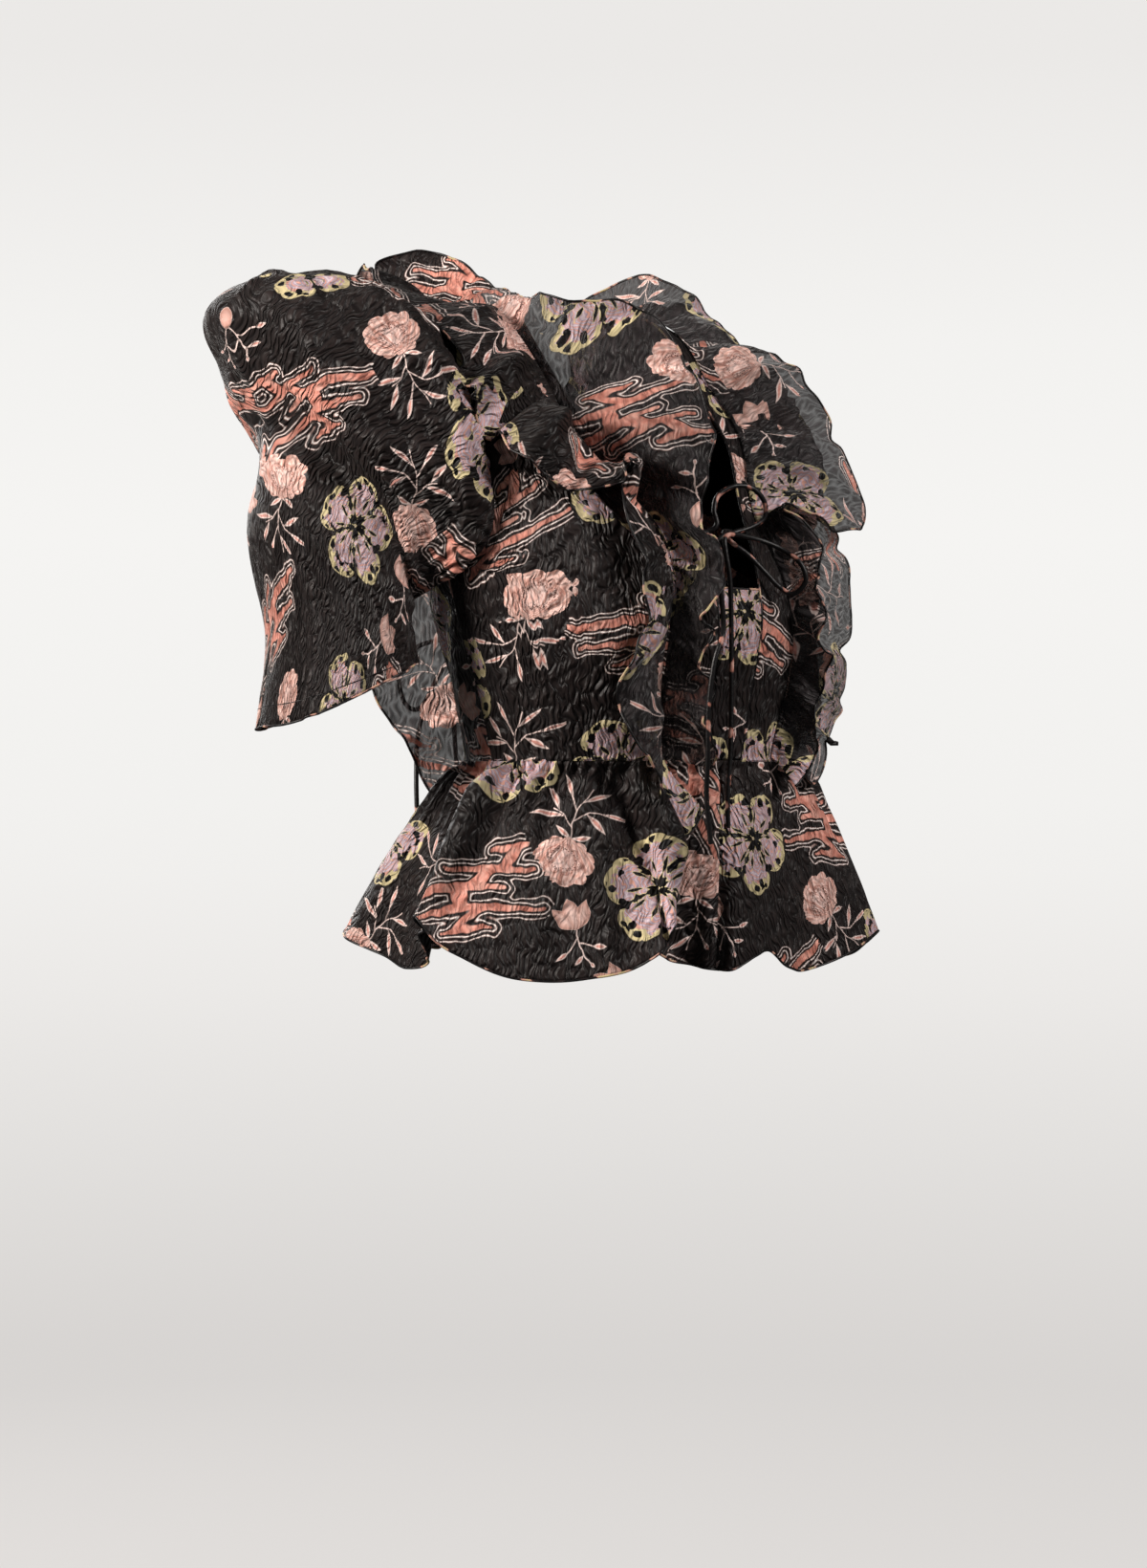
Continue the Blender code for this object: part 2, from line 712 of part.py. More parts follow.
def ruffle_grid(side, table, shift, stations, across):
    along = np.linspace(0, 2, stations)
    seam, out = ruffle_seam(side, along, shift)
    row = smooth(table, along)
    edge, belly = row[:, :3], row[:, 3:]
    middle = (seam + edge) / 2 + out * belly
    t = np.linspace(0, 1, across)[None, :, None]
    return (
        (1 - t) ** 2 * seam[:, None, :]
        + 2 * t * (1 - t) * middle[:, None, :]
        + t**2 * edge[:, None, :]
    )


def finer(grid, times):
    """The grid with this many times the rows, met by straight lines."""
    at = np.linspace(0, len(grid) - 1, times * len(grid))
    low = np.minimum(at.astype(int), len(grid) - 2)
    share = (at - low)[:, None, None]
    return grid[low] * (1 - share) + grid[low + 1] * share


def sheet_cloud(grid, side):
    """The outer face of a strip that lies on the torso, for keeping another strip off it."""
    fine = finer(finer(grid, 3).swapaxes(0, 1), 3).swapaxes(0, 1)
    return cloud_of(fine, grid_normals(fine) * -side)


def add_ruffles(cloth, body, sleeves):
    outer = ruffle_grid(-1, RIGHT_OUTER, 0.9, 68, 5)
    outer = kept_off(kept_off(outer, body, LAYER), sleeves[0], LAYER)
    add_cloth("ruffle_outer_right", outer, cloth, turned=True)
    inner = kept_off(ruffle_grid(-1, RIGHT_INNER, -0.9, 62, 5), body, LAYER)
    along = np.linspace(0, 2, 62)[:, None]
    lift = np.interp(along, INNER_LIFT[0], INNER_LIFT[1])
    inner = kept_off(inner, sheet_cloud(outer, -1), lift)
    add_cloth("ruffle_inner_right", inner, cloth)
    lower = ruffle_grid(1, LEFT_LOWER, 0.9, 58, 5)
    lower = kept_off(kept_off(lower, body, LAYER), sleeves[1], LAYER)
    add_cloth("ruffle_lower_left", lower, cloth)
    upper = kept_off(ruffle_grid(1, LEFT_UPPER, -0.9, 62, 5), body, LAYER)
    upper = kept_off(upper, sheet_cloud(lower, 1), 2 * LAYER)
    add_cloth("ruffle_upper_left", upper, cloth)


def main():
    for old in list(bpy.data.objects):
        bpy.data.objects.remove(old)
    bpy.context.scene.collection.children.link(COLLECTION)
    cloth = cloth_material("printed_organza", (0.022, 0.019, 0.023), 0.55)
    satin = cloth_material("tie_satin", (0.018, 0.015, 0.018), 0.45)
    body = torso_cloud()
    add_bodice(cloth)
    sleeves = add_sleeves(cloth, body)
    add_peplum(cloth)
    add_ruffles(cloth, body, sleeves)
    add_tie("tie_front_right", FRONT_TIE_RIGHT, satin)
    add_tie("tie_front_left", FRONT_TIE_LEFT, satin)
    add_tie("tie_back_right", BACK_TIE_RIGHT, satin)
    add_tie("tie_back_left", BACK_TIE_LEFT, satin)


COLLECTION = bpy.data.collections.new("ruffled_blouse")
main()
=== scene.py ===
"""A short blouse of crinkled black organza with a floral print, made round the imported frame.

Run as a script. Lengths in the tables and functions are millimetres, and the scene is in
metres. The front faces -Y, the wearer's right is -X, and the origin is midway between the
two high points of the shoulders.
"""

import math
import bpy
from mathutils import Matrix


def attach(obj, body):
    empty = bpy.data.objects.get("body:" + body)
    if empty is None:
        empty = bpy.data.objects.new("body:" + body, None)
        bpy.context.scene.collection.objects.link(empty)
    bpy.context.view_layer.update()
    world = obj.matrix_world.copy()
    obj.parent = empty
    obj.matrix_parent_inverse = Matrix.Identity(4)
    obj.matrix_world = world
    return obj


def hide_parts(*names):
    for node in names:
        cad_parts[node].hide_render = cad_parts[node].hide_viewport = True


bl_info = {
    "name": "Ruffled organza blouse",
    "version": (1, 0, 0),
    "blender": (4, 5, 0),
    "location": "3D View > Sidebar > Blouse",
    "description": "Puffed sleeves, double ruffles, a fluted peplum and tie bows in printed organza",
    "category": "Add Mesh",
}

import bpy
import numpy as np
from mathutils import Vector
from mathutils.kdtree import KDTree

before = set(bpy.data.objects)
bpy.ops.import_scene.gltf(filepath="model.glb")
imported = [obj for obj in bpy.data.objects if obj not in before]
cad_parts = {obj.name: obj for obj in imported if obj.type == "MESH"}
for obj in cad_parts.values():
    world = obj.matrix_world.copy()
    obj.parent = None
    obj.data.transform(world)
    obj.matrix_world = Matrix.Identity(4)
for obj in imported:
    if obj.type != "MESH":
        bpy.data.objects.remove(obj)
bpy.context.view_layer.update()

MM = 0.001
SEAM_LIFT = 0.5  # how far the seam of a ruffle stands off the bodice
LAYER = 2.4  # how far the middle of a second layer stands off the middle of the first
SIDES = ((-1, "right"), (1, "left"))  # the way of x, and the wearer's own side
WAIST = 8.0  # level of the waist seam
DEEPEST = 12.0  # how far behind a surface a point may lie and still be lifted off it
WIDEST = 6.0  # how far beside the nearest point of the surface it may lie

# The torso, ring by ring from the neck down to the waist seam.
# level, centre x, centre y, half width, front, back, z at the side, z in front, z behind
TORSO = [
    (0.0, 0, 0, 70, 62, 58, 0, -72, 4),
    (1.0, 0, -2, 115, 88, 78, -14, -97, -22),
    (2.0, 2, -8, 158, 106, 94, -34, -122, -58),
    (3.0, 5, -18, 166, 120, 102, -92, -152, -104),
    (4.0, 8, -30, 162, 132, 104, -150, -182, -156),
    (5.0, 10, -40, 158, 138, 103, -200, -213, -203),
    (6.0, 11, -47, 152, 135, 100, -245, -247, -246),
    (7.0, 13, -54, 143, 116, 98, -292, -292, -292),
    (8.0, 14, -58, 134, 100, 98, -343, -343, -343),
]
SQUARENESS = 2.25

# The armhole in angle and level: its middle, and how far it reaches each way.
ARMHOLE_ANGLE = 90.0
ARMHOLE_FRONT = 23.0
ARMHOLE_BACK = 30.0
ARMHOLE_TOP = 1.95
ARMHOLE_FOOT = 5.0
ARMHOLE_MIDDLE = (ARMHOLE_TOP + ARMHOLE_FOOT) / 2
ARMHOLE_HALF = (ARMHOLE_FOOT - ARMHOLE_TOP) / 2
HOLE_SHARE = 0.62  # share of the way down a panel at which the armhole meets the side seam
SLEEVE_BLEND = 0.16  # share of the sleeve over which it leaves the armhole's own form
SLEEVE_LAP = 1.6  # degrees by which a sleeve's seam edge laps over the bodice

# Edge of the front opening from the shoulder down: share of the way, angle, level
FRONT_EDGE = [
    (0.00, 90.0, 0.00), (0.12, 68.0, 0.12), (0.24, 39.0, 0.80), (0.36, 22.0, 2.00),
    (0.47, 11.0, 3.55), (0.56, 6.6, 5.00), (0.64, 6.3, 5.90), (0.80, 6.2, 6.90), (1.00, 6.2, 8.00),
]
# Edge of the back opening from the shoulder down
BACK_EDGE = [
    (0.00, 90.0, 0.00), (0.12, 112.0, 0.12), (0.24, 136.0, 0.80), (0.36, 152.0, 2.00),
    (0.47, 162.0, 3.55), (0.56, 169.0, 4.90), (0.64, 174.5, 5.90), (0.72, 178.6, 6.50),
    (0.84, 179.8, 7.20), (1.00, 179.8, 8.00),
]
# Share of each front panel's width that lies before the princess seam
PRINCESS = [
    (0.00, 0.50), (0.36, 0.34), (0.60, 0.20), (1.00, 0.20),
]
INSERT_HALF = 5.9  # degrees from the middle of the front to each edge of the insert
INSERT_TOP = 5.15  # level of its top edge
# Seam that holds the front ruffles, waist to shoulder: share of the way, angle, level
FRONT_RUFFLE_SEAM = [
    (0.00, 22.0, 7.95), (0.20, 22.5, 6.40), (0.38, 18.0, 5.00), (0.52, 17.0, 3.50),
    (0.68, 29.0, 2.05), (0.84, 48.0, 0.90), (1.00, 88.0, 0.18),
]
# Seam that holds the back ruffles, shoulder to waist
BACK_RUFFLE_SEAM = [
    (0.00, 92.0, 0.18), (0.16, 128.0, 0.95), (0.32, 147.0, 2.05), (0.48, 157.0, 3.50),
    (0.64, 166.0, 5.00), (0.80, 171.0, 6.50), (1.00, 172.0, 7.95),
]

# Sleeve rings from the armhole to the hem: share of the way, the outer point, the point at
# the underarm, half the depth, how far the middle lies behind, z of the front and of the back.
# x is measured away from the middle of the body.
SLEEVE_RIGHT = [
    # along, ox, oy, oz, ix, iy, iz, half depth, shift y, front z, back z
    (0.00, 158, -4, -34, 158, -14, -200, 70, 0, -104, -112),
    (0.10, 176, 4, -2, 161, -36, -212, 78, 2, -98, -96),
    (0.22, 206, 22, 14, 162, -28, -222, 84, 12, -100, -82),
    (0.33, 242, 38, 12, 163, -18, -231, 86, 18, -110, -68),
    (0.42, 268, 46, -6, 163, -10, -238, 84, 18, -124, -66),
    (0.52, 258, 46, -52, 162, -5, -244, 77, 15, -148, -108),
    (0.62, 236, 38, -100, 160, 2, -249, 68, 10, -176, -146),
    (0.74, 251, 34, -165, 159, 6, -254, 69, 8, -200, -204),
    (0.88, 244, 25, -245, 158, 7, -262, 63, 5, -246, -266),
    (1.00, 258, 22, -318, 152, 8, -267, 62, 4, -285, -312),
]
SLEEVE_LEFT = [
    (0.00, 168, -4, -34, 168, -14, -200, 70, 0, -104, -112),
    (0.10, 178, 4, -24, 172, -37, -213, 74, 2, -108, -110),
    (0.22, 195, 20, -18, 173, -26, -219, 78, 10, -118, -108),
    (0.33, 217, 34, -30, 174, -17, -227, 80, 16, -128, -112),
    (0.44, 238, 42, -56, 174, -9, -235, 79, 16, -140, -122),
    (0.55, 250, 42, -98, 172, -3, -242, 75, 14, -158, -144),
    (0.66, 252, 37, -142, 170, 5, -249, 70, 10, -180, -178),
    (0.78, 254, 32, -200, 168, 6, -256, 67, 8, -214, -222),
    (0.90, 257, 26, -262, 165, 7, -262, 64, 6, -252, -272),
    (1.00, 261, 22, -318, 160, 8, -267, 62, 4, -285, -312),
]

SLEEVE_RINGS = {"right": SLEEVE_RIGHT, "left": SLEEVE_LEFT}

# Peplum hem, right side from the front round to the back, then the left side.
# angle at the waist, x, y, z of the hem below it
PEPLUM_RIGHT = [
    (-3.0, 9, -162, -496), (0.3, 0, -160, -495), (8.0, -8, -148, -492), (14.0, -22, -141, -488),
    (18.0, -39, -150, -478), (21.0, -50, -183, -461), (24.5, -66, -185, -477),
    (29.0, -78, -167, -491), (38.0, -103, -146, -499), (50.0, -131, -125, -501),
    (61.0, -153, -104, -496), (69.0, -168, -84, -485), (75.0, -181, -67, -473),
    (80.0, -187, -49, -455), (84.0, -172, -33, -467), (90.0, -153, -23, -488),
    (99.0, -151, 6, -496), (108.0, -147, 39, -488), (118.0, -152, 80, -476),
    (128.0, -124, 110, -470), (138.0, -88, 92, -480), (148.0, -66, 78, -486),
    (158.0, -50, 104, -480), (169.0, -20, 112, -480), (180.0, 4, 86, -488),
]
PEPLUM_LEFT = [
    (0.3, 2, -159, -495), (8.0, 9, -177, -495), (15.0, 33, -174, -486), (22.0, 52, -169, -483),
    (29.0, 70, -169, -495), (35.0, 85, -165, -499), (43.0, 113, -163, -495),
    (51.0, 146, -162, -485), (58.0, 181, -152, -472), (66.0, 203, -118, -482),
    (76.0, 203, -89, -494), (88.0, 170, -40, -486), (102.0, 186, 2, -478), (116.0, 172, 46, -482),
    (128.0, 140, 62, -490), (138.0, 128, 96, -480), (148.0, 104, 118, -474), (158.0, 72, 98, -484),
    (168.0, 42, 92, -488), (180.0, 8, 86, -488),
]
PEPLUM_HEMS = {"right": PEPLUM_RIGHT, "left": PEPLUM_LEFT}
PEPLUM_ROUND = 0.72  # below 1 the cloth leaves the waist outward and then drops

# Free edges of the ruffles. Along is 0 at the front waist, 1 at the shoulder and 2 at the
# back waist; x, y, z is the edge, and belly lifts the middle of the strip off the torso.
RIGHT_INNER = [
    (0.00, -17, -182, -350, 5), (0.06, -18, -188, -336, 6), (0.12, -35, -190, -315, 6),
    (0.18, -26, -197, -293, 8), (0.25, -41, -195, -274, 8), (0.32, -33, -202, -253, 10),
    (0.39, -41, -203, -237, 12), (0.45, -25, -204, -215, 12), (0.50, -25, -196, -198, 15),
    (0.55, -29, -187, -182, 19), (0.60, -31, -186, -164, 24), (0.65, -26, -184, -143, 28),
    (0.71, -13, -174, -107, 30), (0.76, -8, -158, -73, 30), (0.80, -12, -142, -44, 28),
    (0.83, -22, -125, -15, 26), (0.86, -40, -108, -6, 20), (0.88, -54, -90, -6, 12),
    (0.90, -65, -76, -4, 8), (0.92, -70, -60, -1, 7), (0.94, -69, -44, 2, 7),
    (0.97, -64, -27, 6, 8), (1.03, -61, -5, 9, 10), (1.12, -60, 25, 23, 14),
    (1.21, -67, 56, 42, 16), (1.26, -76, 82, 50, 18), (1.31, -109, 104, 36, 19),
    (1.36, -90, 124, 2, 20), (1.42, -30, 120, -24, 20), (1.50, -34, 132, -74, 20),
    (1.60, -6, 128, -130, 18), (1.70, -18, 134, -182, 16), (1.78, 0, 118, -230, 14),
    (1.86, -14, 108, -272, 12), (1.94, -4, 88, -312, 10), (2.00, -12, 72, -350, 8),
]
RIGHT_OUTER = [
    (0.00, -22, -180, -379, 3), (0.04, -40, -178, -397, 4), (0.07, -53, -176, -381, 5),
    (0.11, -62, -175, -355, 6), (0.15, -76, -169, -335, 8), (0.20, -87, -165, -314, 10),
    (0.25, -91, -163, -292, 12), (0.30, -84, -170, -274, 12), (0.35, -81, -174, -256, 12),
    (0.40, -74, -178, -241, 10), (0.44, -77, -173, -220, 12), (0.48, -79, -172, -196, 14),
    (0.52, -87, -167, -162, 22), (0.56, -77, -170, -126, 30), (0.59, -79, -158, -141, 26),
    (0.62, -97, -148, -148, 26), (0.66, -118, -136, -146, 26), (0.70, -131, -120, -134, 28),
    (0.73, -146, -110, -122, 30), (0.76, -148, -98, -106, 28), (0.79, -154, -85, -106, 28),
    (0.83, -159, -75, -88, 28), (0.87, -161, -68, -70, 26), (0.91, -154, -67, -54, 22),
    (0.95, -156, -52, -38, 18), (0.99, -156, -26, -23, 14), (1.03, -156, 0, -11, 14),
    (1.07, -155, 28, 1, 14), (1.12, -152, 52, 20, 16), (1.18, -143, 68, 32, 18),
    (1.25, -138, 96, 10, 20), (1.33, -114, 114, -42, 18), (1.42, -116, 128, -86, 22),
    (1.52, -92, 126, -136, 20), (1.61, -106, 132, -186, 22), (1.70, -82, 128, -236, 20),
    (1.78, -103, 110, -288, 18), (1.84, -94, 100, -313, 14), (1.90, -82, 90, -338, 12),
    (1.96, -72, 76, -368, 10), (2.00, -58, 66, -376, 8),
]
LEFT_UPPER = [
    (0.00, 76, -171, -361, 3), (0.06, 86, -179, -343, 5), (0.12, 77, -184, -312, 6),
    (0.20, 85, -192, -285, 6), (0.27, 72, -196, -259, 8), (0.34, 81, -198, -233, 8),
    (0.40, 69, -199, -209, 10), (0.45, 80, -195, -182, 10), (0.50, 61, -176, -153, 12),
    (0.54, 84, -181, -162, 18), (0.58, 135, -165, -169, 24), (0.62, 165, -152, -164, 26),
    (0.66, 173, -145, -145, 26), (0.70, 170, -136, -119, 26), (0.75, 165, -119, -87, 24),
    (0.80, 159, -101, -57, 22), (0.85, 148, -82, -35, 20), (0.90, 142, -64, -21, 18),
    (0.95, 135, -42, -5, 16), (1.00, 125, -24, 6, 16), (1.05, 117, 0, 27, 16),
    (1.10, 113, 23, 38, 16), (1.16, 113, 49, 45, 16), (1.22, 104, 78, 36, 18),
    (1.30, 78, 104, 6, 20), (1.38, 92, 114, -38, 20), (1.47, 60, 122, -84, 20),
    (1.56, 78, 126, -132, 20), (1.65, 50, 124, -180, 18), (1.74, 64, 116, -228, 16),
    (1.83, 40, 104, -278, 14), (1.92, 48, 84, -324, 10), (2.00, 30, 66, -358, 8),
]
LEFT_LOWER = [
    (0.00, 94, -158, -350, 4), (0.04, 125, -144, -359, 8), (0.08, 154, -135, -327, 12),
    (0.12, 144, -134, -327, 12), (0.17, 153, -129, -303, 14), (0.24, 164, -127, -268, 16),
    (0.31, 169, -128, -235, 16), (0.38, 170, -130, -206, 16), (0.44, 166, -132, -179, 14),
    (0.50, 146, -135, -160, 10), (0.56, 136, -127, -145, 8), (0.62, 146, -129, -123, 8),
    (0.70, 146, -116, -93, 8), (0.78, 139, -97, -63, 8), (0.86, 135, -74, -39, 8),
    (0.94, 131, -44, -17, 6), (1.00, 121, -21, -2, 6), (1.08, 115, 8, 17, 6),
    (1.16, 108, 52, 14, 6), (1.22, 124, 66, -8, 8), (1.30, 116, 88, -36, 8),
    (1.39, 126, 98, -78, 10), (1.48, 102, 108, -126, 10), (1.57, 114, 112, -176, 12),
    (1.66, 90, 110, -224, 12), (1.75, 100, 100, -270, 12), (1.84, 72, 90, -314, 10),
    (1.92, 72, 74, -348, 8), (2.00, 52, 58, -374, 6),
]

# Along the right inner ruffle, and how far it lies off the outer one: clear of it in front,
# where it stands by itself, and on top of it from the shoulder on.
INNER_LIFT = [(0.86, 0.90, 1.02), (-DEEPEST, 0.0, 2 * LAYER)]

# Routes of the ties, each from the edge of its opening to its free end.
FRONT_TIE_RIGHT = [
    (-33, -163, -181), (-25, -169, -178), (-14, -173, -177), (-8, -177, -172), (-8, -174, -161),
    (-2, -172, -150), (10, -176, -143), (24, -180, -144), (35, -181, -153), (37, -179, -165),
    (27, -176, -172), (14, -174, -176), (1, -173, -180), (-8, -176, -188), (-10, -182, -202),
    (-13, -187, -220), (-23, -200, -238), (-35, -213, -254), (-43, -213, -273), (-45, -209, -306),
    (-42, -205, -340), (-38, -199, -370), (-32, -197, -403),
]
FRONT_TIE_LEFT = [
    (41, -152, -178), (29, -157, -176), (18, -161, -175), (10, -165, -176), (11, -171, -183),
    (23, -176, -192), (34, -183, -205), (43, -189, -216), (50, -196, -221), (55, -204, -212),
    (52, -202, -199), (45, -191, -189), (32, -185, -183), (16, -183, -180), (2, -184, -179),
    (-9, -187, -182), (-10, -189, -193), (-7, -190, -212), (-4, -188, -242), (-1, -185, -284),
    (1, -182, -332), (0, -180, -367), (2, -178, -392),
]
BACK_TIE_RIGHT = [
    (-8, 60, -242), (4, 70, -244), (12, 88, -246), (13, 112, -246), (4, 130, -244),
    (-14, 142, -246), (-36, 148, -254), (-50, 148, -272), (-46, 146, -296), (-32, 144, -300),
    (-18, 140, -276), (-4, 138, -256), (0, 146, -258), (-14, 150, -282), (-32, 146, -318),
    (-39, 140, -352), (-41, 136, -396),
]
BACK_TIE_LEFT = [
    (30, 60, -248), (24, 74, -250), (20, 96, -252), (20, 120, -252), (28, 134, -248),
    (46, 142, -252), (60, 142, -270), (58, 140, -292), (44, 138, -300), (30, 136, -280),
    (20, 138, -262), (12, 150, -266), (8, 152, -300), (8, 148, -350), (10, 142, -404),
]

TIES = {
    "tie_front_right": FRONT_TIE_RIGHT,
    "tie_front_left": FRONT_TIE_LEFT,
    "tie_back_right": BACK_TIE_RIGHT,
    "tie_back_left": BACK_TIE_LEFT,
}

# ---------------------------------------------------------------- the print

# Kinds of motif and how far each reaches from its place: left, right, up and down, in units
# of its own size.
MOTIFS = ["none", "carnation", "blossom", "stream", "sprig"]
MOTIF_EXTENT = {
    "carnation": (-0.95, 0.95, -1.05, 1.30),
    "blossom": (-1.12, 1.12, -1.12, 1.12),
    "stream": (-1.38, 1.38, -0.84, 0.84),
    "sprig": (-0.95, 0.95, -1.10, 1.15),
}
# One repeat: motif, place across and down in millimetres, turn in degrees, size.
REPEAT_WIDTH = 300.0
REPEAT_LENGTH = 330.0
PRINT_REPEAT = [
    ("blossom", 60, 60, 10, 41), ("blossom", 205, 172, 50, 40), ("blossom", 92, 268, -25, 42),
    ("stream", 162, 62, 12, 58), ("stream", 62, 165, -18, 56), ("stream", 236, 272, 4, 58),
    ("carnation", 246, 42, 15, 40), ("carnation", 134, 136, -30, 38),
    ("carnation", 278, 118, 10, 40), ("carnation", 160, 238, 165, 40),
    ("carnation", 14, 232, 35, 40), ("sprig", 112, 16, 60, 27), ("sprig", 8, 108, -20, 26),
    ("sprig", 268, 198, 100, 27), ("sprig", 150, 305, 20, 26),
]

# Strokes of the carnation in its own units: from, to and, for leaves, half the width.
CARNATION_STEMS = [
    ((0.00, -0.02), (-0.06, -0.30)), ((-0.06, -0.30), (-0.03, -0.60)),
    ((-0.03, -0.60), (0.10, -0.98)), ((-0.05, -0.24), (-0.24, -0.42)),
    ((-0.24, -0.42), (-0.46, -0.46)), ((-0.05, -0.36), (0.18, -0.54)),
    ((0.18, -0.54), (0.46, -0.58)), ((-0.04, -0.52), (-0.24, -0.76)),
]
CARNATION_LEAVES = [
    ((-0.22, -0.40), (-0.82, -0.26), 0.056), ((-0.34, -0.46), (-0.70, -0.84), 0.050),
    ((0.14, -0.50), (0.60, -0.22), 0.054), ((0.38, -0.58), (0.92, -0.74), 0.050),
    ((0.00, -0.66), (0.42, -1.04), 0.050), ((-0.20, -0.72), (-0.44, -1.14), 0.052),
    ((0.00, -0.04), (0.36, -0.14), 0.050), ((-0.02, -0.04), (-0.32, -0.18), 0.050),
]
CARNATION_STREAKS = [(0.30, "#b8897d"), (0.44, "#dab0a5"), (0.57, "#f0d2ca"), (0.72, "#d3a89c")]
CARNATION_RINGS = [(0.30, "#ffffff"), (0.47, "#efdcd6"), (0.50, "#a27a70"), (0.54, "#fff6f2")]

SPRIG_STEMS = [
    ((0.0, 0.15), (0.02, -0.40)), ((0.02, -0.40), (-0.14, -0.92)), ((0.0, -0.15), (0.42, -0.44)),
    ((0.02, -0.30), (-0.38, -0.48)),
]
SPRIG_LEAVES = [
    ((0.38, -0.42), (0.78, -0.60), 0.075), ((-0.34, -0.46), (-0.74, -0.58), 0.075),
    ((-0.04, -0.60), (0.30, -0.86), 0.070), ((-0.12, -0.88), (-0.26, -1.06), 0.060),
]
SPRIG_PETALS = [
    ((0.0, 0.06), (0.0, 0.98), 0.26), ((-0.03, 0.08), (-0.52, 0.80), 0.22),
    ((0.03, 0.08), (0.50, 0.82), 0.22),
]
SPRIG_SHADES = [(0.28, "#e2c0b6"), (0.42, "#cfa498"), (0.485, "#b98b7e"), (0.50, "#eaccc3")]

BLOSSOM_VEINS = [(0.08, "#cb9788"), (0.26, "#ad96a2"), (0.62, "#a08d9c"), (0.94, "#c3b2b9")]

# Strokes that make the body of the stream: from, to and half the width.
STREAM_ARMS = [
    ((-1.04, 0.44), (-0.34, 0.42), 0.040), ((-0.70, 0.42), (-0.48, 0.18), 0.068),
    ((-0.90, 0.17), (0.20, 0.18), 0.046), ((-0.36, 0.16), (-0.06, -0.06), 0.080),
    ((-0.50, -0.07), (1.06, -0.05), 0.056), ((0.06, -0.06), (0.02, -0.32), 0.096),
    ((-0.96, -0.34), (0.74, -0.31), 0.045), ((-0.28, -0.34), (0.18, -0.56), 0.048),
    ((-0.34, -0.58), (0.30, -0.57), 0.032),
]
STREAM_LINES = [(0.038, 0.008, 0.03), (0.092, 0.007, 0.09)]  # distance out, half width, wander
STREAM_BODY = [(0.30, "#ab6c5d"), (0.48, "#cf8878"), (0.66, "#e0a595")]
TIE_COLOURS = [(0.55, "#0c0a0b"), (0.60, "#161214"), (0.63, "#a06a5c"), (0.70, "#c9a094")]
THREAD_COLOURS = [(0.3, "#080707"), (0.7, "#1c181a")]
HEM_COLOURS = [(0.50, "#0c0a0b"), (0.56, "#2a2021"), (0.59, "#b98a7c"), (0.65, "#b5a67c")]

# ---------------------------------------------------------------- cloth of each piece

LATTICE = 256  # cells of the noise before it repeats
TURN_SMOOTHING = 60  # how many times the turn of an unrolled piece is evened out
NET_ROWS, NET_COLUMNS = 40, 12  # points of the net that lays a piece flat
NET_STEPS = 400
SEAM_DEPTH = 1.5  # how far a seam draws the cloth in
SEAM_WIDTH = 2.0
SEAM_HOLD = 3.0  # within this of a seam the cloth lies smooth

# The main folds, listed one by one. Each runs from one place to another in shares of its piece
# (round or across, then down or out), then half its width and its height in millimetres, with
# a height below 0 for a hollow. Shares of a sleeve start at the underarm and go by the back.
SLEEVE_FOLDS_RIGHT = [
    (0.47, 0.02, 0.46, 0.20, 5, 2.6), (0.51, 0.00, 0.52, 0.27, 4, 3.0), (0.55, 0.01, 0.57, 0.19, 4, -2.2),
    (0.585, 0.00, 0.60, 0.30, 4.5, 3.2), (0.62, 0.00, 0.63, 0.22, 4, -2.4),
    (0.66, 0.00, 0.655, 0.34, 5, 3.4),
    (0.70, 0.00, 0.69, 0.21, 4, -2.6), (0.735, 0.00, 0.72, 0.31, 5, 3.0), (0.78, 0.00, 0.75, 0.24, 5, -3.0),
    (0.82, 0.02, 0.77, 0.33, 5.5, 3.2), (0.87, 0.06, 0.82, 0.30, 6, -2.8),
    (0.80, 0.20, 0.655, 0.56, 9, 4.2), (0.84, 0.27, 0.70, 0.60, 8, -3.6), (0.93, 0.30, 0.74, 0.66, 8, 4.4),
    (0.96, 0.44, 0.78, 0.70, 9, -3.8), (0.90, 0.58, 0.70, 0.80, 8, 3.4),
    (0.47, 0.58, 0.66, 0.66, 7, -3.6), (0.46, 0.66, 0.63, 0.71, 8, 3.2), (0.52, 0.50, 0.67, 0.52, 9, 2.6),
    (0.56, 0.74, 0.59, 1.00, 9, 2.4), (0.66, 0.78, 0.70, 1.00, 10, -2.6), (0.77, 0.76, 0.79, 0.99, 9, 3.0),
    (0.86, 0.72, 0.87, 0.98, 9, -2.4), (0.10, 0.20, 0.24, 0.52, 9, 3.6), (0.06, 0.34, 0.21, 0.66, 9, -3.6),
    (0.20, 0.10, 0.33, 0.42, 8, 3.2), (0.30, 0.02, 0.36, 0.28, 5, 3.0), (0.35, 0.00, 0.38, 0.24, 5, -2.6),
    (0.40, 0.00, 0.42, 0.31, 5, 3.0), (0.24, 0.56, 0.42, 0.68, 9, -3.2), (0.32, 0.72, 0.30, 1.00, 10, 2.8),
    (0.18, 0.76, 0.15, 0.98, 9, -2.6), (0.41, 0.78, 0.43, 1.00, 9, -2.2),
]
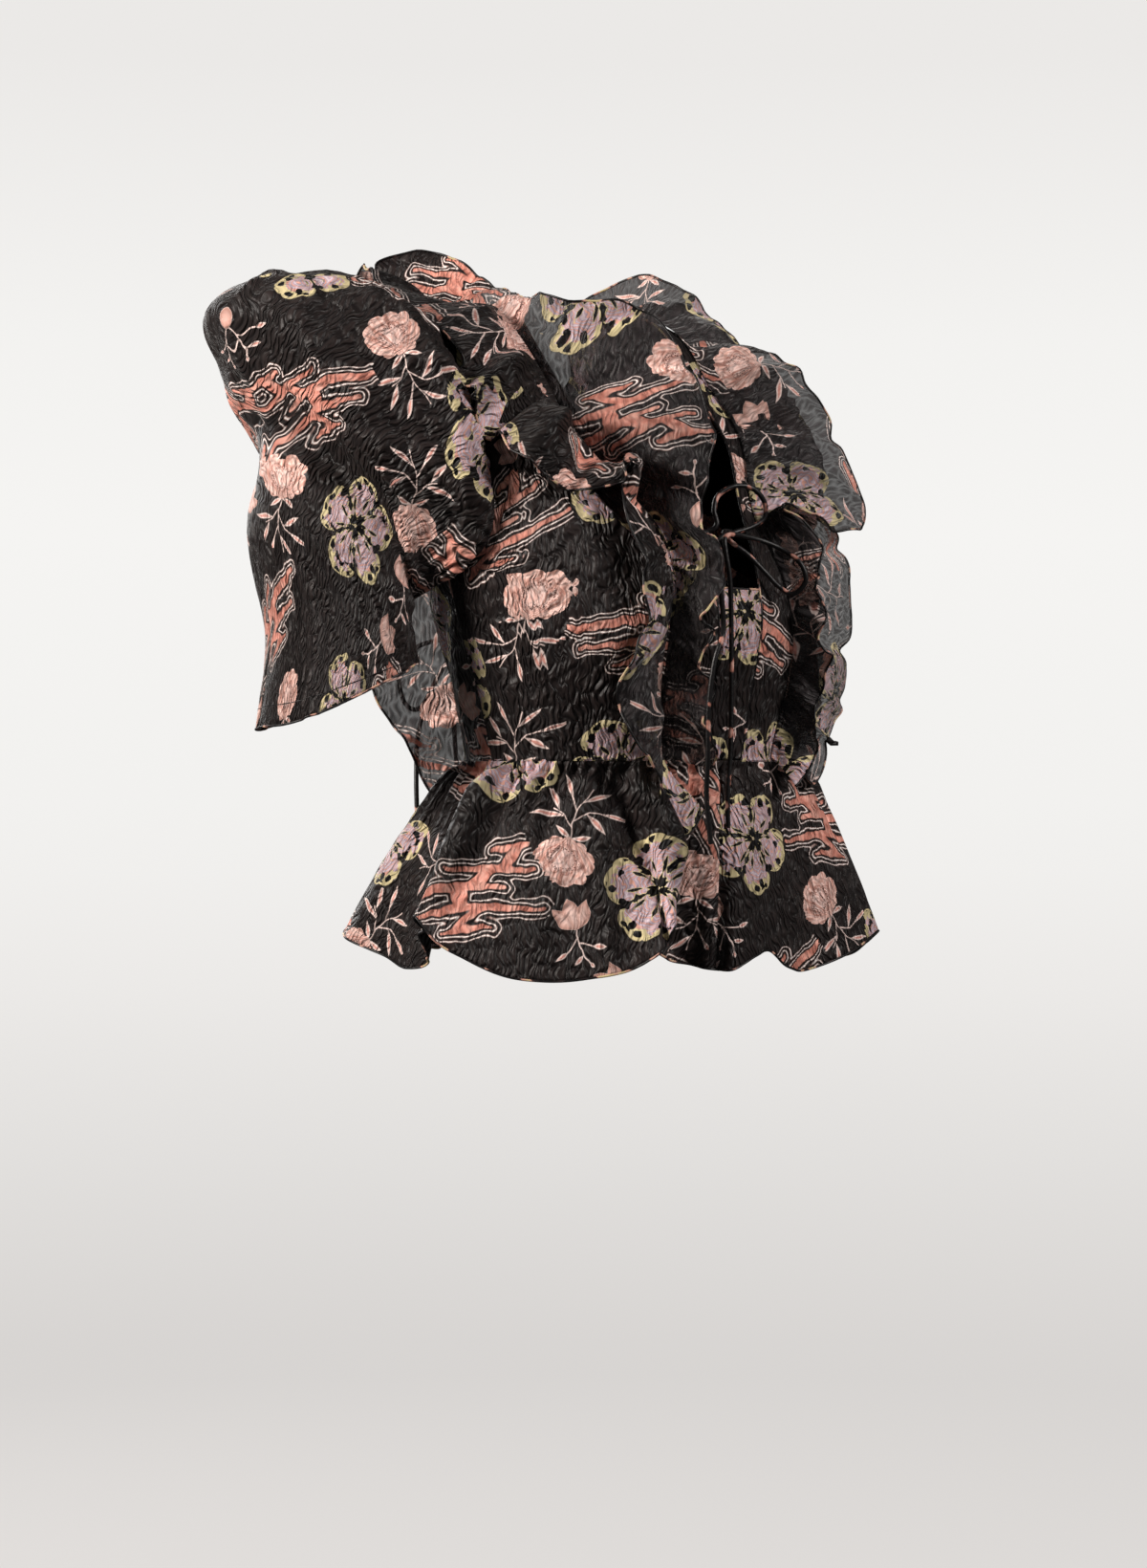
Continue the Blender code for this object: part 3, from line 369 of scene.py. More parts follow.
SLEEVE_FOLDS_LEFT = [
    (0.44, 0.00, 0.43, 0.22, 5, 2.6), (0.50, 0.00, 0.49, 0.30, 5, 3.0), (0.54, 0.00, 0.55, 0.18, 4, -2.2),
    (0.59, 0.00, 0.60, 0.27, 5, 2.8), (0.645, 0.00, 0.64, 0.20, 4, -2.2), (0.69, 0.00, 0.67, 0.31, 5, 3.0),
    (0.75, 0.00, 0.72, 0.24, 5, -2.6), (0.80, 0.03, 0.75, 0.33, 6, 3.0), (0.88, 0.12, 0.78, 0.44, 8, -3.2),
    (0.92, 0.26, 0.76, 0.62, 9, 3.8), (0.86, 0.48, 0.68, 0.74, 9, -3.2), (0.94, 0.60, 0.78, 0.86, 8, 3.0),
    (0.50, 0.52, 0.62, 0.60, 9, -2.8), (0.60, 0.70, 0.62, 1.00, 10, 2.6), (0.72, 0.80, 0.73, 1.00, 9, -2.4),
    (0.34, 0.02, 0.37, 0.26, 5, 2.8), (0.28, 0.04, 0.33, 0.30, 6, -2.8), (0.12, 0.22, 0.27, 0.52, 9, 3.4),
    (0.08, 0.40, 0.24, 0.68, 9, -3.4), (0.30, 0.62, 0.44, 0.72, 9, 2.8), (0.26, 0.78, 0.24, 1.00, 9, 2.6),
    (0.42, 0.74, 0.43, 1.00, 10, -2.4), (0.16, 0.72, 0.12, 0.96, 9, -2.4),
]
# Shares of a front or back panel: from the opening to the side, then down.
FRONT_FOLDS = [(0.2, 0.52, 0.6, 0.80, 5, 1.2), (0.5, 0.60, 0.2, 0.95, 5, -1.0)]
BUST_FOLDS_RIGHT = [
    (0.02, 0.52, 0.34, 0.66, 7, 2.2), (0.03, 0.60, 0.28, 0.78, 6, -2.0), (0.02, 0.70, 0.22, 0.90, 6, 1.8),
    (0.52, 0.66, 0.30, 0.96, 9, 2.0), (0.70, 0.62, 0.52, 0.90, 8, -2.0), (0.93, 0.64, 0.66, 0.84, 8, 2.4),
    (0.97, 0.72, 0.74, 0.94, 7, -2.0), (0.10, 0.34, 0.40, 0.46, 9, 1.8), (0.86, 0.60, 0.44, 0.70, 9, 1.8),
]
BUST_FOLDS_LEFT = [
    (0.03, 0.50, 0.30, 0.68, 7, 2.0), (0.02, 0.64, 0.24, 0.84, 6, -1.8), (0.48, 0.64, 0.34, 0.94, 9, 2.0),
    (0.94, 0.66, 0.62, 0.82, 8, 2.4), (0.96, 0.76, 0.72, 0.96, 7, -2.0), (0.74, 0.60, 0.40, 0.74, 9, -1.6),
]
BACK_FOLDS_RIGHT = [
    (0.20, 0.46, 0.55, 0.62, 9, 2.2), (0.30, 0.60, 0.62, 0.80, 8, -2.2), (0.95, 0.66, 0.60, 0.86, 8, 2.4),
    (0.12, 0.78, 0.36, 0.98, 7, 1.8), (0.72, 0.30, 0.40, 0.44, 10, 1.8), (0.92, 0.78, 0.74, 0.98, 7, -1.8),
]
BACK_FOLDS_LEFT = [
    (0.24, 0.42, 0.60, 0.58, 9, 2.0), (0.22, 0.62, 0.50, 0.84, 8, 2.2), (0.96, 0.64, 0.66, 0.80, 8, -2.2),
    (0.90, 0.74, 0.58, 0.94, 8, 2.2), (0.10, 0.80, 0.30, 0.99, 7, -1.8), (0.66, 0.28, 0.34, 0.40, 10, 1.6),
]
# Shares of a peplum piece: round from its front edge, then down.
PEPLUM_FOLDS_FRONT_RIGHT = [
    (0.06, 0.00, 0.07, 0.34, 4, 2.4), (0.12, 0.00, 0.10, 0.22, 4, -2.2), (0.19, 0.00, 0.17, 0.52, 5, 3.0),
    (0.27, 0.00, 0.26, 0.28, 4, -2.4), (0.33, 0.00, 0.34, 0.60, 6, 3.2), (0.41, 0.00, 0.40, 0.24, 4, -2.4),
    (0.47, 0.00, 0.49, 0.44, 5, 2.8), (0.55, 0.00, 0.54, 0.30, 4, -2.6), (0.62, 0.00, 0.62, 0.55, 6, 3.2),
    (0.70, 0.00, 0.69, 0.26, 4, -2.4), (0.77, 0.00, 0.76, 0.46, 5, 3.0), (0.85, 0.00, 0.84, 0.34, 5, -2.6),
    (0.93, 0.02, 0.825, 0.90, 7, -9.0), (0.985, 0.05, 0.905, 1.00, 7, 7.0),
    (0.51, 0.16, 0.435, 1.00, 7, -5.5), (0.46, 0.12, 0.310, 1.00, 8, 10.0),
    (0.395, 0.06, 0.235, 0.85, 9, -12.0),
    (0.865, 0.04, 0.80, 0.84, 5.5, -7.0), (0.60, 0.45, 0.585, 0.95, 9, -3.0),
]
PEPLUM_FOLDS_FRONT_LEFT = [
    (0.05, 0.00, 0.05, 0.40, 5, 2.6), (0.13, 0.00, 0.12, 0.24, 4, -2.4), (0.22, 0.00, 0.20, 0.55, 6, 3.0),
    (0.30, 0.00, 0.30, 0.26, 4, -2.4), (0.38, 0.00, 0.39, 0.46, 5, 3.0), (0.47, 0.00, 0.46, 0.30, 4, -2.4),
    (0.55, 0.00, 0.57, 0.62, 6, 3.2), (0.64, 0.00, 0.64, 0.24, 4, -2.4), (0.73, 0.00, 0.72, 0.48, 5, 2.8),
    (0.82, 0.00, 0.82, 0.28, 4, -2.4), (0.91, 0.00, 0.90, 0.52, 6, 2.8), (0.30, 0.55, 0.28, 1.00, 10, -3.0),
]
PEPLUM_FOLDS_BACK_RIGHT = [
    (0.07, 0.00, 0.08, 0.46, 5, 2.8), (0.16, 0.00, 0.16, 0.26, 4, -2.4), (0.24, 0.00, 0.25, 0.58, 6, 3.2),
    (0.34, 0.00, 0.33, 0.28, 4, -2.4), (0.43, 0.00, 0.44, 0.48, 5, 2.8), (0.53, 0.00, 0.52, 0.24, 4, -2.4),
    (0.62, 0.00, 0.61, 0.56, 6, 3.0), (0.72, 0.00, 0.72, 0.30, 5, -2.6), (0.82, 0.00, 0.81, 0.44, 5, 2.8),
    (0.93, 0.00, 0.93, 0.34, 4, 2.4),
]
PEPLUM_FOLDS_BACK_LEFT = [
    (0.08, 0.00, 0.07, 0.36, 4, 2.6), (0.17, 0.00, 0.18, 0.54, 6, 3.0), (0.27, 0.00, 0.26, 0.26, 4, -2.4),
    (0.36, 0.00, 0.37, 0.50, 5, 2.8), (0.46, 0.00, 0.45, 0.28, 4, -2.4), (0.55, 0.00, 0.56, 0.60, 6, 3.2),
    (0.66, 0.00, 0.65, 0.26, 4, -2.4), (0.76, 0.00, 0.77, 0.46, 5, 2.8), (0.88, 0.00, 0.87, 0.38, 5, 2.6),
]
# Shares of a ruffle: from the front waist over the shoulder to the back waist, then out.
RUFFLE_FOLDS_OUTER_RIGHT = [
    (0.03, 0.1, 0.035, 1.0, 6, 5), (0.062, 0.2, 0.07, 1.0, 5, -5), (0.10, 0.0, 0.11, 1.0, 7, 6),
    (0.145, 0.1, 0.15, 1.0, 6, -5), (0.185, 0.0, 0.19, 0.9, 6, 6), (0.225, 0.2, 0.235, 1.0, 6, -6),
    (0.262, 0.0, 0.268, 1.0, 8, 12), (0.288, 0.1, 0.292, 1.0, 8, -12), (0.318, 0.0, 0.325, 1.0, 9, 14),
    (0.350, 0.1, 0.355, 1.0, 9, -13), (0.385, 0.0, 0.39, 1.0, 9, 12), (0.418, 0.1, 0.42, 1.0, 8, -9),
    (0.435, 0.0, 0.44, 1.0, 7, 6), (0.475, 0.2, 0.48, 0.9, 6, -5), (0.51, 0.0, 0.52, 1.0, 7, 6),
    (0.555, 0.2, 0.56, 1.0, 7, -6), (0.60, 0.0, 0.61, 1.0, 8, 7), (0.65, 0.2, 0.655, 1.0, 7, -6),
    (0.70, 0.0, 0.71, 1.0, 8, 7), (0.755, 0.2, 0.76, 0.9, 7, -6), (0.81, 0.0, 0.82, 1.0, 8, 7),
    (0.87, 0.1, 0.88, 1.0, 7, -6), (0.93, 0.0, 0.935, 1.0, 7, 5),
]
RUFFLE_FOLDS_INNER_RIGHT = [
    (0.04, 0.1, 0.045, 1.0, 6, 5), (0.09, 0.2, 0.095, 0.9, 6, -5), (0.135, 0.0, 0.14, 1.0, 7, 6),
    (0.18, 0.1, 0.185, 1.0, 6, -5), (0.222, 0.0, 0.23, 1.0, 7, 6), (0.262, 0.2, 0.265, 0.9, 7, -5),
    (0.30, 0.1, 0.31, 1.0, 9, 7), (0.345, 0.2, 0.35, 1.0, 9, -6), (0.385, 0.0, 0.395, 1.0, 9, 6),
    (0.425, 0.3, 0.43, 1.0, 7, -5), (0.465, 0.0, 0.47, 0.9, 7, 5), (0.52, 0.1, 0.525, 1.0, 8, -5),
    (0.575, 0.0, 0.58, 1.0, 8, 6), (0.63, 0.1, 0.635, 1.0, 8, -6), (0.69, 0.0, 0.70, 0.9, 8, 7),
    (0.75, 0.2, 0.76, 1.0, 8, -6), (0.81, 0.0, 0.815, 1.0, 8, 6), (0.87, 0.2, 0.88, 1.0, 7, -5),
    (0.93, 0.0, 0.935, 0.9, 7, 5),
]
RUFFLE_FOLDS_LOWER_LEFT = [
    (0.035, 0.1, 0.04, 1.0, 7, 6), (0.08, 0.2, 0.085, 1.0, 6, -5), (0.125, 0.0, 0.13, 1.0, 7, 7),
    (0.17, 0.1, 0.175, 0.9, 7, -5), (0.215, 0.0, 0.22, 1.0, 7, 6), (0.265, 0.2, 0.27, 1.0, 7, -6),
    (0.31, 0.0, 0.32, 1.0, 7, 6), (0.365, 0.2, 0.37, 0.9, 7, -5), (0.42, 0.0, 0.43, 1.0, 7, 6),
    (0.48, 0.2, 0.485, 1.0, 7, -5), (0.54, 0.0, 0.55, 1.0, 8, 6), (0.60, 0.2, 0.605, 1.0, 8, -6),
    (0.66, 0.0, 0.67, 0.9, 8, 7), (0.73, 0.2, 0.735, 1.0, 8, -6), (0.80, 0.0, 0.81, 1.0, 8, 6),
    (0.87, 0.2, 0.875, 1.0, 7, -5), (0.94, 0.0, 0.945, 1.0, 7, 5),
]
RUFFLE_FOLDS_UPPER_LEFT = [
    (0.03, 0.1, 0.035, 1.0, 6, 5), (0.07, 0.2, 0.075, 0.9, 6, -5), (0.115, 0.0, 0.12, 1.0, 7, 6),
    (0.155, 0.1, 0.16, 1.0, 6, -6), (0.20, 0.0, 0.205, 1.0, 7, 6), (0.24, 0.2, 0.245, 1.0, 6, -6),
    (0.275, 0.0, 0.285, 1.0, 8, 8), (0.32, 0.2, 0.325, 0.9, 8, -7), (0.36, 0.0, 0.37, 1.0, 8, 7),
    (0.41, 0.2, 0.415, 1.0, 8, -6), (0.455, 0.0, 0.46, 1.0, 8, 6), (0.51, 0.2, 0.515, 1.0, 8, -6),
    (0.565, 0.0, 0.57, 0.9, 8, 6), (0.62, 0.2, 0.63, 1.0, 8, -6), (0.69, 0.0, 0.70, 1.0, 8, 7),
    (0.76, 0.2, 0.765, 1.0, 8, -6), (0.83, 0.0, 0.84, 1.0, 8, 6), (0.90, 0.2, 0.905, 1.0, 7, -5),
    (0.96, 0.0, 0.965, 0.9, 6, 4),
]

# What pieces of a kind share. Cloth: lined, or sheer for a single layer. Seams: the edges that
# are sewn. Gathers: spacing, height and how far they fade. Spring: how high and how far from
# its seam gathered cloth springs out. Flutter: length and height of the waves of a free edge.
CENTRE_FRONT = {"cloth": "lined", "seams": ("last", "far"), "folds": FRONT_FOLDS}
SIDE_FRONT = {"cloth": "lined", "seams": ("first", "last", "near", "far")}
INSERT = {"cloth": "lined", "seams": ("far",)}
BACK = {"cloth": "lined", "seams": ("last", "near", "far")}
SLEEVE = {"cloth": "lined", "seams": ("near",), "gathers": (9.5, 2.4, 42), "spring": (3.4, 11)}
PEPLUM = {
    "cloth": "lined", "seams": ("near", "last"),
    "gathers": (11, 2.6, 34), "spring": (3.2, 8), "flutter": (44, 4.0),
}
PEPLUM_BACK = PEPLUM | {"seams": ("near", "first", "last")}
RUFFLE = {"cloth": "sheer", "seams": ("near",), "gathers": (7.5, 1.6, 20), "flutter": (34, 8.0)}
# The look of each piece. Seed: of its noise. Print: shift across and down in millimetres and
# turn in degrees. Painted shade span: from and to in shares of its length, where a ruffle takes
# the darker lined cloth, which lets no light through, as painted shade.
LOOKS = {
    "front_right": CENTRE_FRONT | {"seed": 11, "print": (40, 120, 0)},
    "front_left": CENTRE_FRONT | {"seed": 12, "print": (190, 80, 0)},
    "front_side_right": SIDE_FRONT | {"seed": 13, "print": (120, 200, 0), "folds": BUST_FOLDS_RIGHT},
    "front_side_left": SIDE_FRONT | {"seed": 14, "print": (10, 30, 0), "folds": BUST_FOLDS_LEFT},
    "front_insert": INSERT | {"seed": 15, "print": (90, 250, 0)},
    "back_right": BACK | {"seed": 16, "print": (60, 10, 0), "folds": BACK_FOLDS_RIGHT},
    "back_left": BACK | {"seed": 17, "print": (210, 150, 0), "folds": BACK_FOLDS_LEFT},
    "sleeve_right": SLEEVE | {"seed": 21, "print": (150, 60, -42), "folds": SLEEVE_FOLDS_RIGHT},
    "sleeve_left": SLEEVE | {"seed": 22, "print": (20, 210, 0), "folds": SLEEVE_FOLDS_LEFT},
    "peplum_front_right": PEPLUM | {
        "seed": 31, "print": (145, 180, 0), "folds": PEPLUM_FOLDS_FRONT_RIGHT,
    },
    "peplum_front_left": PEPLUM | {"seed": 32, "print": (160, 20, 0), "folds": PEPLUM_FOLDS_FRONT_LEFT},
    "peplum_back_right": PEPLUM_BACK | {
        "seed": 33, "print": (230, 90, 0), "folds": PEPLUM_FOLDS_BACK_RIGHT,
    },
    "peplum_back_left": PEPLUM_BACK | {
        "seed": 34, "print": (110, 270, 0), "folds": PEPLUM_FOLDS_BACK_LEFT,
    },
    "ruffle_outer_right": RUFFLE | {
        "seed": 41, "print": (30, 105, 0), "painted_shade_span": (0.17, 0.56), "folds": RUFFLE_FOLDS_OUTER_RIGHT,
    },
    "ruffle_inner_right": RUFFLE | {
        "seed": 42, "print": (180, 240, 0), "painted_shade_span": (0.53, 0.80), "folds": RUFFLE_FOLDS_INNER_RIGHT,
    },
    "ruffle_lower_left": RUFFLE | {"seed": 43, "print": (250, 60, 0), "folds": RUFFLE_FOLDS_LOWER_LEFT},
    "ruffle_upper_left": RUFFLE | {
        "seed": 44, "print": (100, 200, 0), "folds": RUFFLE_FOLDS_UPPER_LEFT,
    },
}

# Points across and down each grid of cloth.
PANEL_ROWS = 170
FRONT_COLUMNS, SIDE_COLUMNS, BACK_COLUMNS = 16, 68, 76
INSERT_GRID = (14, 46)
SLEEVE_GRID = (224, 120)
ROUGH_SLEEVE_GRID = (72, 48)  # enough to keep the ruffles off it
PEPLUM_GRID = (170, 56)
EDGE_POINTS = 90
INSERT_EDGE_POINTS = 20

HEM_RADIUS = 0.9
HEM_ROW = -4  # the row of the sleeve where its turned hem is stitched down
STITCH_RADIUS = 0.45
TIE_RADIUS = 1.9
PEPLUM_FRONT = {"right": -2.5, "left": 0.3}  # where each front edge hangs, in degrees
PEPLUM_BACK_END = 179.7  # where each back edge hangs
RUFFLE_STATIONS = 460
RUFFLE_ACROSS = 28
RUFFLE_SHIFT = 0.9  # degrees from the ruffle seam to the edge of each of its two layers
RUFFLE_SOFTENING = 6
# The two layers of each side's ruffle, from the one on the bodice to the one over it.
RUFFLES = {
    "right": (("ruffle_outer_right", RIGHT_OUTER), ("ruffle_inner_right", RIGHT_INNER)),
    "left": (("ruffle_lower_left", LEFT_LOWER), ("ruffle_upper_left", LEFT_UPPER)),
}
# Painted light of the cove's wall, which glows though it is no lamp, darker towards the floor and
# the top: share of the way from COVE_LOW to COVE_HIGH, and colour.
COVE_LOW, COVE_HIGH = -1.6, 2.4  # metres
COVE_GLOW = [
    (0.03, "#dedbd9"), (0.11, "#e6e4e2"), (0.20, "#eeecea"), (0.30, "#f2f1ef"), (0.45, "#f5f4f2"),
    (0.56, "#f3f2f0"), (0.72, "#ebe9e7"),
]
# The cove in metres: its flat floor, the bend from there to the wall, and the wall's top.
COVE_FLOOR = 4.0
COVE_BEND = 1.6
COVE_TOP = 6.0
COVE_SIDES = 96
WORLD_STRENGTH = 0.08
LENS, SENSOR = 85.0, 36.0  # millimetres
LIT_POINT = (0, 0, -0.25)  # where the lights point, in metres
# Lights: name, place in metres, width, power in watts and colour.
LIGHTS = [
    ("key", (-3.3, 1.0, 1.0), 1.3, 205.0, "#fff7f0"),
    ("fill", (1.3, -3.8, 1.8), 1.6, 168.0, "#fff9f5"),
    ("back", (0.6, 3.3, 0.9), 2.0, 45.0, "#fffdfb"),
]


# ---------------------------------------------------------------- shape of the cloth


def smooth(table, at):
    """Rows of the table met by a smooth curve, read at these values of its first column."""
    rows = np.array(table, float)
    keys, values = rows[:, 0], rows[:, 1:]
    slopes = np.gradient(values, keys, axis=0)
    at = np.clip(np.asarray(at, float), keys[0], keys[-1])
    i = np.clip(np.searchsorted(keys, at, side="right") - 1, 0, len(keys) - 2)
    step = keys[i + 1] - keys[i]
    t = ((at - keys[i]) / step)[..., None]
    step = step[..., None]
    return (
        (2 * t**3 - 3 * t**2 + 1) * values[i]
        + (t**3 - 2 * t**2 + t) * step * slopes[i]
        + (3 * t**2 - 2 * t**3) * values[i + 1]
        + (t**3 - t**2) * step * slopes[i + 1]
    )


def walked(steps):
    """How far along a line each of its points lies, from the lengths between them."""
    return np.concatenate([[0], np.cumsum(steps)])


def torso_skin(angle, level):
    """Points of the torso; the angle is 0 in front, 90 at the wearer's left, -90 at the right."""
    ring = smooth(TORSO, level)
    a = np.radians(angle)
    sine, cosine = np.sin(a), np.cos(a)
    power = 2 / SQUARENESS
    across = np.sign(sine) * np.abs(sine) ** power
    along = np.sign(cosine) * np.abs(cosine) ** power
    ahead = cosine > 0
    depth = np.where(ahead, ring[..., 3], ring[..., 4])
    end_z = np.where(ahead, ring[..., 6], ring[..., 7])
    x = ring[..., 0] + ring[..., 2] * across
    y = ring[..., 1] - depth * along
    z = ring[..., 5] * sine**2 + end_z * cosine**2
    return np.stack([x, y, z], axis=-1)


def torso(angle, level, off=0.0):
    """Points this far off the torso's skin, and the skin's outward directions there."""
    angle, level = np.broadcast_arrays(np.asarray(angle, float), np.asarray(level, float))
    level_up = np.clip(level + 0.02, 0, WAIST)
    level_down = np.clip(level - 0.02, 0, WAIST)
    d_level = torso_skin(angle, level_up) - torso_skin(angle, level_down)
    d_angle = torso_skin(angle + 0.5, level) - torso_skin(angle - 0.5, level)
    out = np.cross(d_level, d_angle)
    out /= np.linalg.norm(out, axis=-1, keepdims=True)
    return torso_skin(angle, level) + out * off, out


def placed(name, data):
    """A new object that shows this mesh, curve, light or camera in the scene."""
    thing = bpy.data.objects.new(name, data)
    bpy.context.scene.collection.objects.link(thing)
    return thing


def torso_cloud():
    """Points all over the torso and the outward directions there."""
    angle, level = np.meshgrid(np.arange(-180, 180, 3.0), np.linspace(0, WAIST, 90))
    skin, out = torso(angle, level)
    return skin.reshape(-1, 3), out.reshape(-1, 3)


def kept_off(points, cloud, least):
    """The points, with those nearer the surface than this moved straight out to it."""
    skin, out = cloud
    tree = KDTree(len(skin))
    for i, place in enumerate(skin):
        tree.insert(place, i)
    tree.balance()
    flat = points.reshape(-1, 3).copy()
    least = np.broadcast_to(least, points.shape[:-1]).reshape(-1)
    near = np.array([tree.find(place)[1] for place in flat])
    offset = flat - skin[near]
    away = (offset * out[near]).sum(axis=1)
    beside = np.linalg.norm(offset - away[:, None] * out[near], axis=1)
    lifted = (away > -DEEPEST) & (away < least) & (beside < WIDEST)
    flat += np.where(lifted, least - away, 0.0)[:, None] * out[near]
    return flat.reshape(points.shape)


def grid_normals(grid, closed=False):
    """Outward directions of a grid of points, closed round its first axis if asked."""
    if closed:
        padded = np.concatenate([grid[-1:], grid, grid[:1]])
        d_first = (padded[2:] - padded[:-2]) / 2
    else:
        d_first = np.gradient(grid, axis=0)
    d_second = np.gradient(grid, axis=1)
    out = np.cross(d_first, d_second)
    return out / np.maximum(np.linalg.norm(out, axis=-1, keepdims=True), 1e-9)


def softened(grid, times):
    """The grid with its inner points drawn to the mean of their neighbours, edges kept."""
    grid = grid.copy()
    for _ in range(times):
        around = (grid[:-2, 1:-1] + grid[2:, 1:-1]) / 2
        grid[1:-1, 1:-1] = (around + (grid[1:-1, :-2] + grid[1:-1, 2:]) / 2) / 2
    return grid


def armhole_edge(share, behind):
    """Angle and level down one half of the armhole, from the shoulder to the underarm."""
    turn = math.pi * np.asarray(share)
    reach = ARMHOLE_BACK if behind else ARMHOLE_FRONT
    way = 1 if behind else -1
    return ARMHOLE_ANGLE + way * reach * np.sin(turn), ARMHOLE_MIDDLE - ARMHOLE_HALF * np.cos(turn)


def outer_edge(share, behind):
    """Angle and level of a panel's outer edge: the armhole, then the side seam."""
    hole_angle, hole_level = armhole_edge(np.minimum(share / HOLE_SHARE, 1), behind)
    seam_level = ARMHOLE_FOOT + (WAIST - ARMHOLE_FOOT) * (share - HOLE_SHARE) / (1 - HOLE_SHARE)
    on_hole = share < HOLE_SHARE
    angle = np.where(on_hole, hole_angle, ARMHOLE_ANGLE)
    return angle, np.where(on_hole, hole_level, seam_level)


def panel(side, behind, first, last, rows, columns):
    """A bodice panel between two shares of the width from the opening to the side seam."""
    down = np.linspace(0, 1, rows)
    inner = smooth(BACK_EDGE if behind else FRONT_EDGE, down)
    outer_angle, outer_level = outer_edge(down, behind)
    start = np.array([first(s) for s in down])
    end = np.array([last(s) for s in down])
    share = start[:, None] + (end - start)[:, None] * np.linspace(0, 1, columns)
    angle = inner[:, :1] + (outer_angle[:, None] - inner[:, :1]) * share
    level = inner[:, 1:] + (outer_level[:, None] - inner[:, 1:]) * share
    return torso(side * angle, level)[0]


def at_opening(share):
    """Share of a panel's width at the edge of the opening, at any level."""
    return 0.0


def at_side(share):
    """Share of a panel's width at the side seam and the armhole."""
    return 1.0


def princess(share):
    """Share of a front panel's width at the princess seam."""
    return float(smooth(PRINCESS, share)[0])


def armhole_loop(turn):
    """Angle and level round the armhole; the turn is 0 at the shoulder and goes by the front."""
    behind = np.sin(turn) < 0
    reach = np.where(behind, ARMHOLE_BACK, ARMHOLE_FRONT) + SLEEVE_LAP
    half = ARMHOLE_HALF + 0.05 * SLEEVE_LAP
    return ARMHOLE_ANGLE - reach * np.sin(turn), ARMHOLE_MIDDLE - half * np.cos(turn)


def sleeve_grid(side, table, around, along):
    """Points round the sleeve and down it; round starts at the underarm and goes by the back."""
    turn = math.pi + np.linspace(0, 2 * math.pi, around, endpoint=False)
    share = np.linspace(0, 1, along)
    ring = smooth(table, share)
    outer, under = ring[:, 0:3], ring[:, 3:6]
    half_depth, shift = ring[:, 6], ring[:, 7]
    front_z, back_z = ring[:, 8], ring[:, 9]
    middle = (outer + under) / 2
    reach = (outer - under) / 2
    cosine, sine = np.cos(turn)[:, None], np.sin(turn)[:, None]
    x = middle[:, 0] + reach[:, 0] * cosine
    y = middle[:, 1] + reach[:, 1] * cosine + shift - half_depth * sine
    side_z = np.where(sine > 0, front_z, back_z)
    z = middle[:, 2] + reach[:, 2] * cosine + (side_z - middle[:, 2]) * sine**2
    grid = np.stack([side * x, y, z], axis=-1)
    angle, level = armhole_loop(turn)
    seam, _ = torso(side * angle, level, LAYER)
    blend = np.clip(1 - share / SLEEVE_BLEND, 0, 1)[None, :, None]
    return grid * (1 - blend) + seam[:, None, :] * blend


def peplum_grid(side, table, first, last, around, down):
    """Points along the waist from the front and down to the hem, evenly spaced on the hem."""
    fine = np.linspace(first, last, 1200)
    steps = np.linalg.norm(np.diff(smooth(table, fine), axis=0), axis=1)
    length = walked(steps)
    angle = np.interp(np.linspace(0, length[-1], around), length, fine)
    waist, _ = torso(side * angle, np.full(around, WAIST))
    hem = smooth(table, angle)
    share = np.linspace(0, 1, down)[None, :, None]
    flat = share**PEPLUM_ROUND
    ways = np.concatenate([flat, flat, share], axis=2)
    return waist[:, None, :] + (hem - waist)[:, None, :] * ways


def ruffle_seam(side, along, shift):
    """Points of the ruffle seam and the torso's outward directions there."""
    front = smooth(FRONT_RUFFLE_SEAM, np.clip(along, 0, 1))
    back = smooth(BACK_RUFFLE_SEAM, np.clip(along - 1, 0, 1))
    share = np.clip((along - 0.97) / 0.06, 0, 1)[:, None]
    place = front * (1 - share) + back * share
    return torso(side * (place[:, 0] + shift), place[:, 1], SEAM_LIFT)


def ruffle_grid(side, table, shift, stations, across):
    """Points along the ruffle and out from its seam to its free edge."""
    along = np.linspace(0, 2, stations)
    seam, out = ruffle_seam(side, along, shift)
    row = smooth(table, along)
    edge, belly = row[:, :3], row[:, 3:]
    middle = (seam + edge) / 2 + out * belly
    t = np.linspace(0, 1, across)[None, :, None]
    return (
        (1 - t) ** 2 * seam[:, None, :]
        + 2 * t * (1 - t) * middle[:, None, :]
        + t**2 * edge[:, None, :]
    )


# ---------------------------------------------------------------- surface of the cloth


def unrolled(grid):
    """The grid laid flat in millimetres: along its first edge, and straight out from that."""
    edge_steps = np.linalg.norm(np.diff(grid[:, 0], axis=0), axis=1)
    far_steps = np.linalg.norm(np.diff(grid[:, -1], axis=0), axis=1)
    out_steps = np.linalg.norm(np.diff(grid, axis=1), axis=2)
    reach = np.concatenate([np.zeros((len(grid), 1)), np.cumsum(out_steps, axis=1)], axis=1)
    width = np.maximum((reach[1:, -1] + reach[:-1, -1]) / 2, 10.0)
    turning = walked((far_steps - edge_steps) / width)
    for _ in range(TURN_SMOOTHING):
        turning[1:-1] = (turning[:-2] + 2 * turning[1:-1] + turning[2:]) / 4
    turning -= turning[len(turning) // 2]
    middle = (turning[1:] + turning[:-1]) / 2
    x = walked(edge_steps * np.cos(middle))
    y = walked(-edge_steps * np.sin(middle))
    x, y = x - x[len(x) // 2], y - y[len(y) // 2]
    u = x[:, None] + reach * np.sin(turning)[:, None]
    v = y[:, None] + reach * np.cos(turning)[:, None]
    return u, v, reach


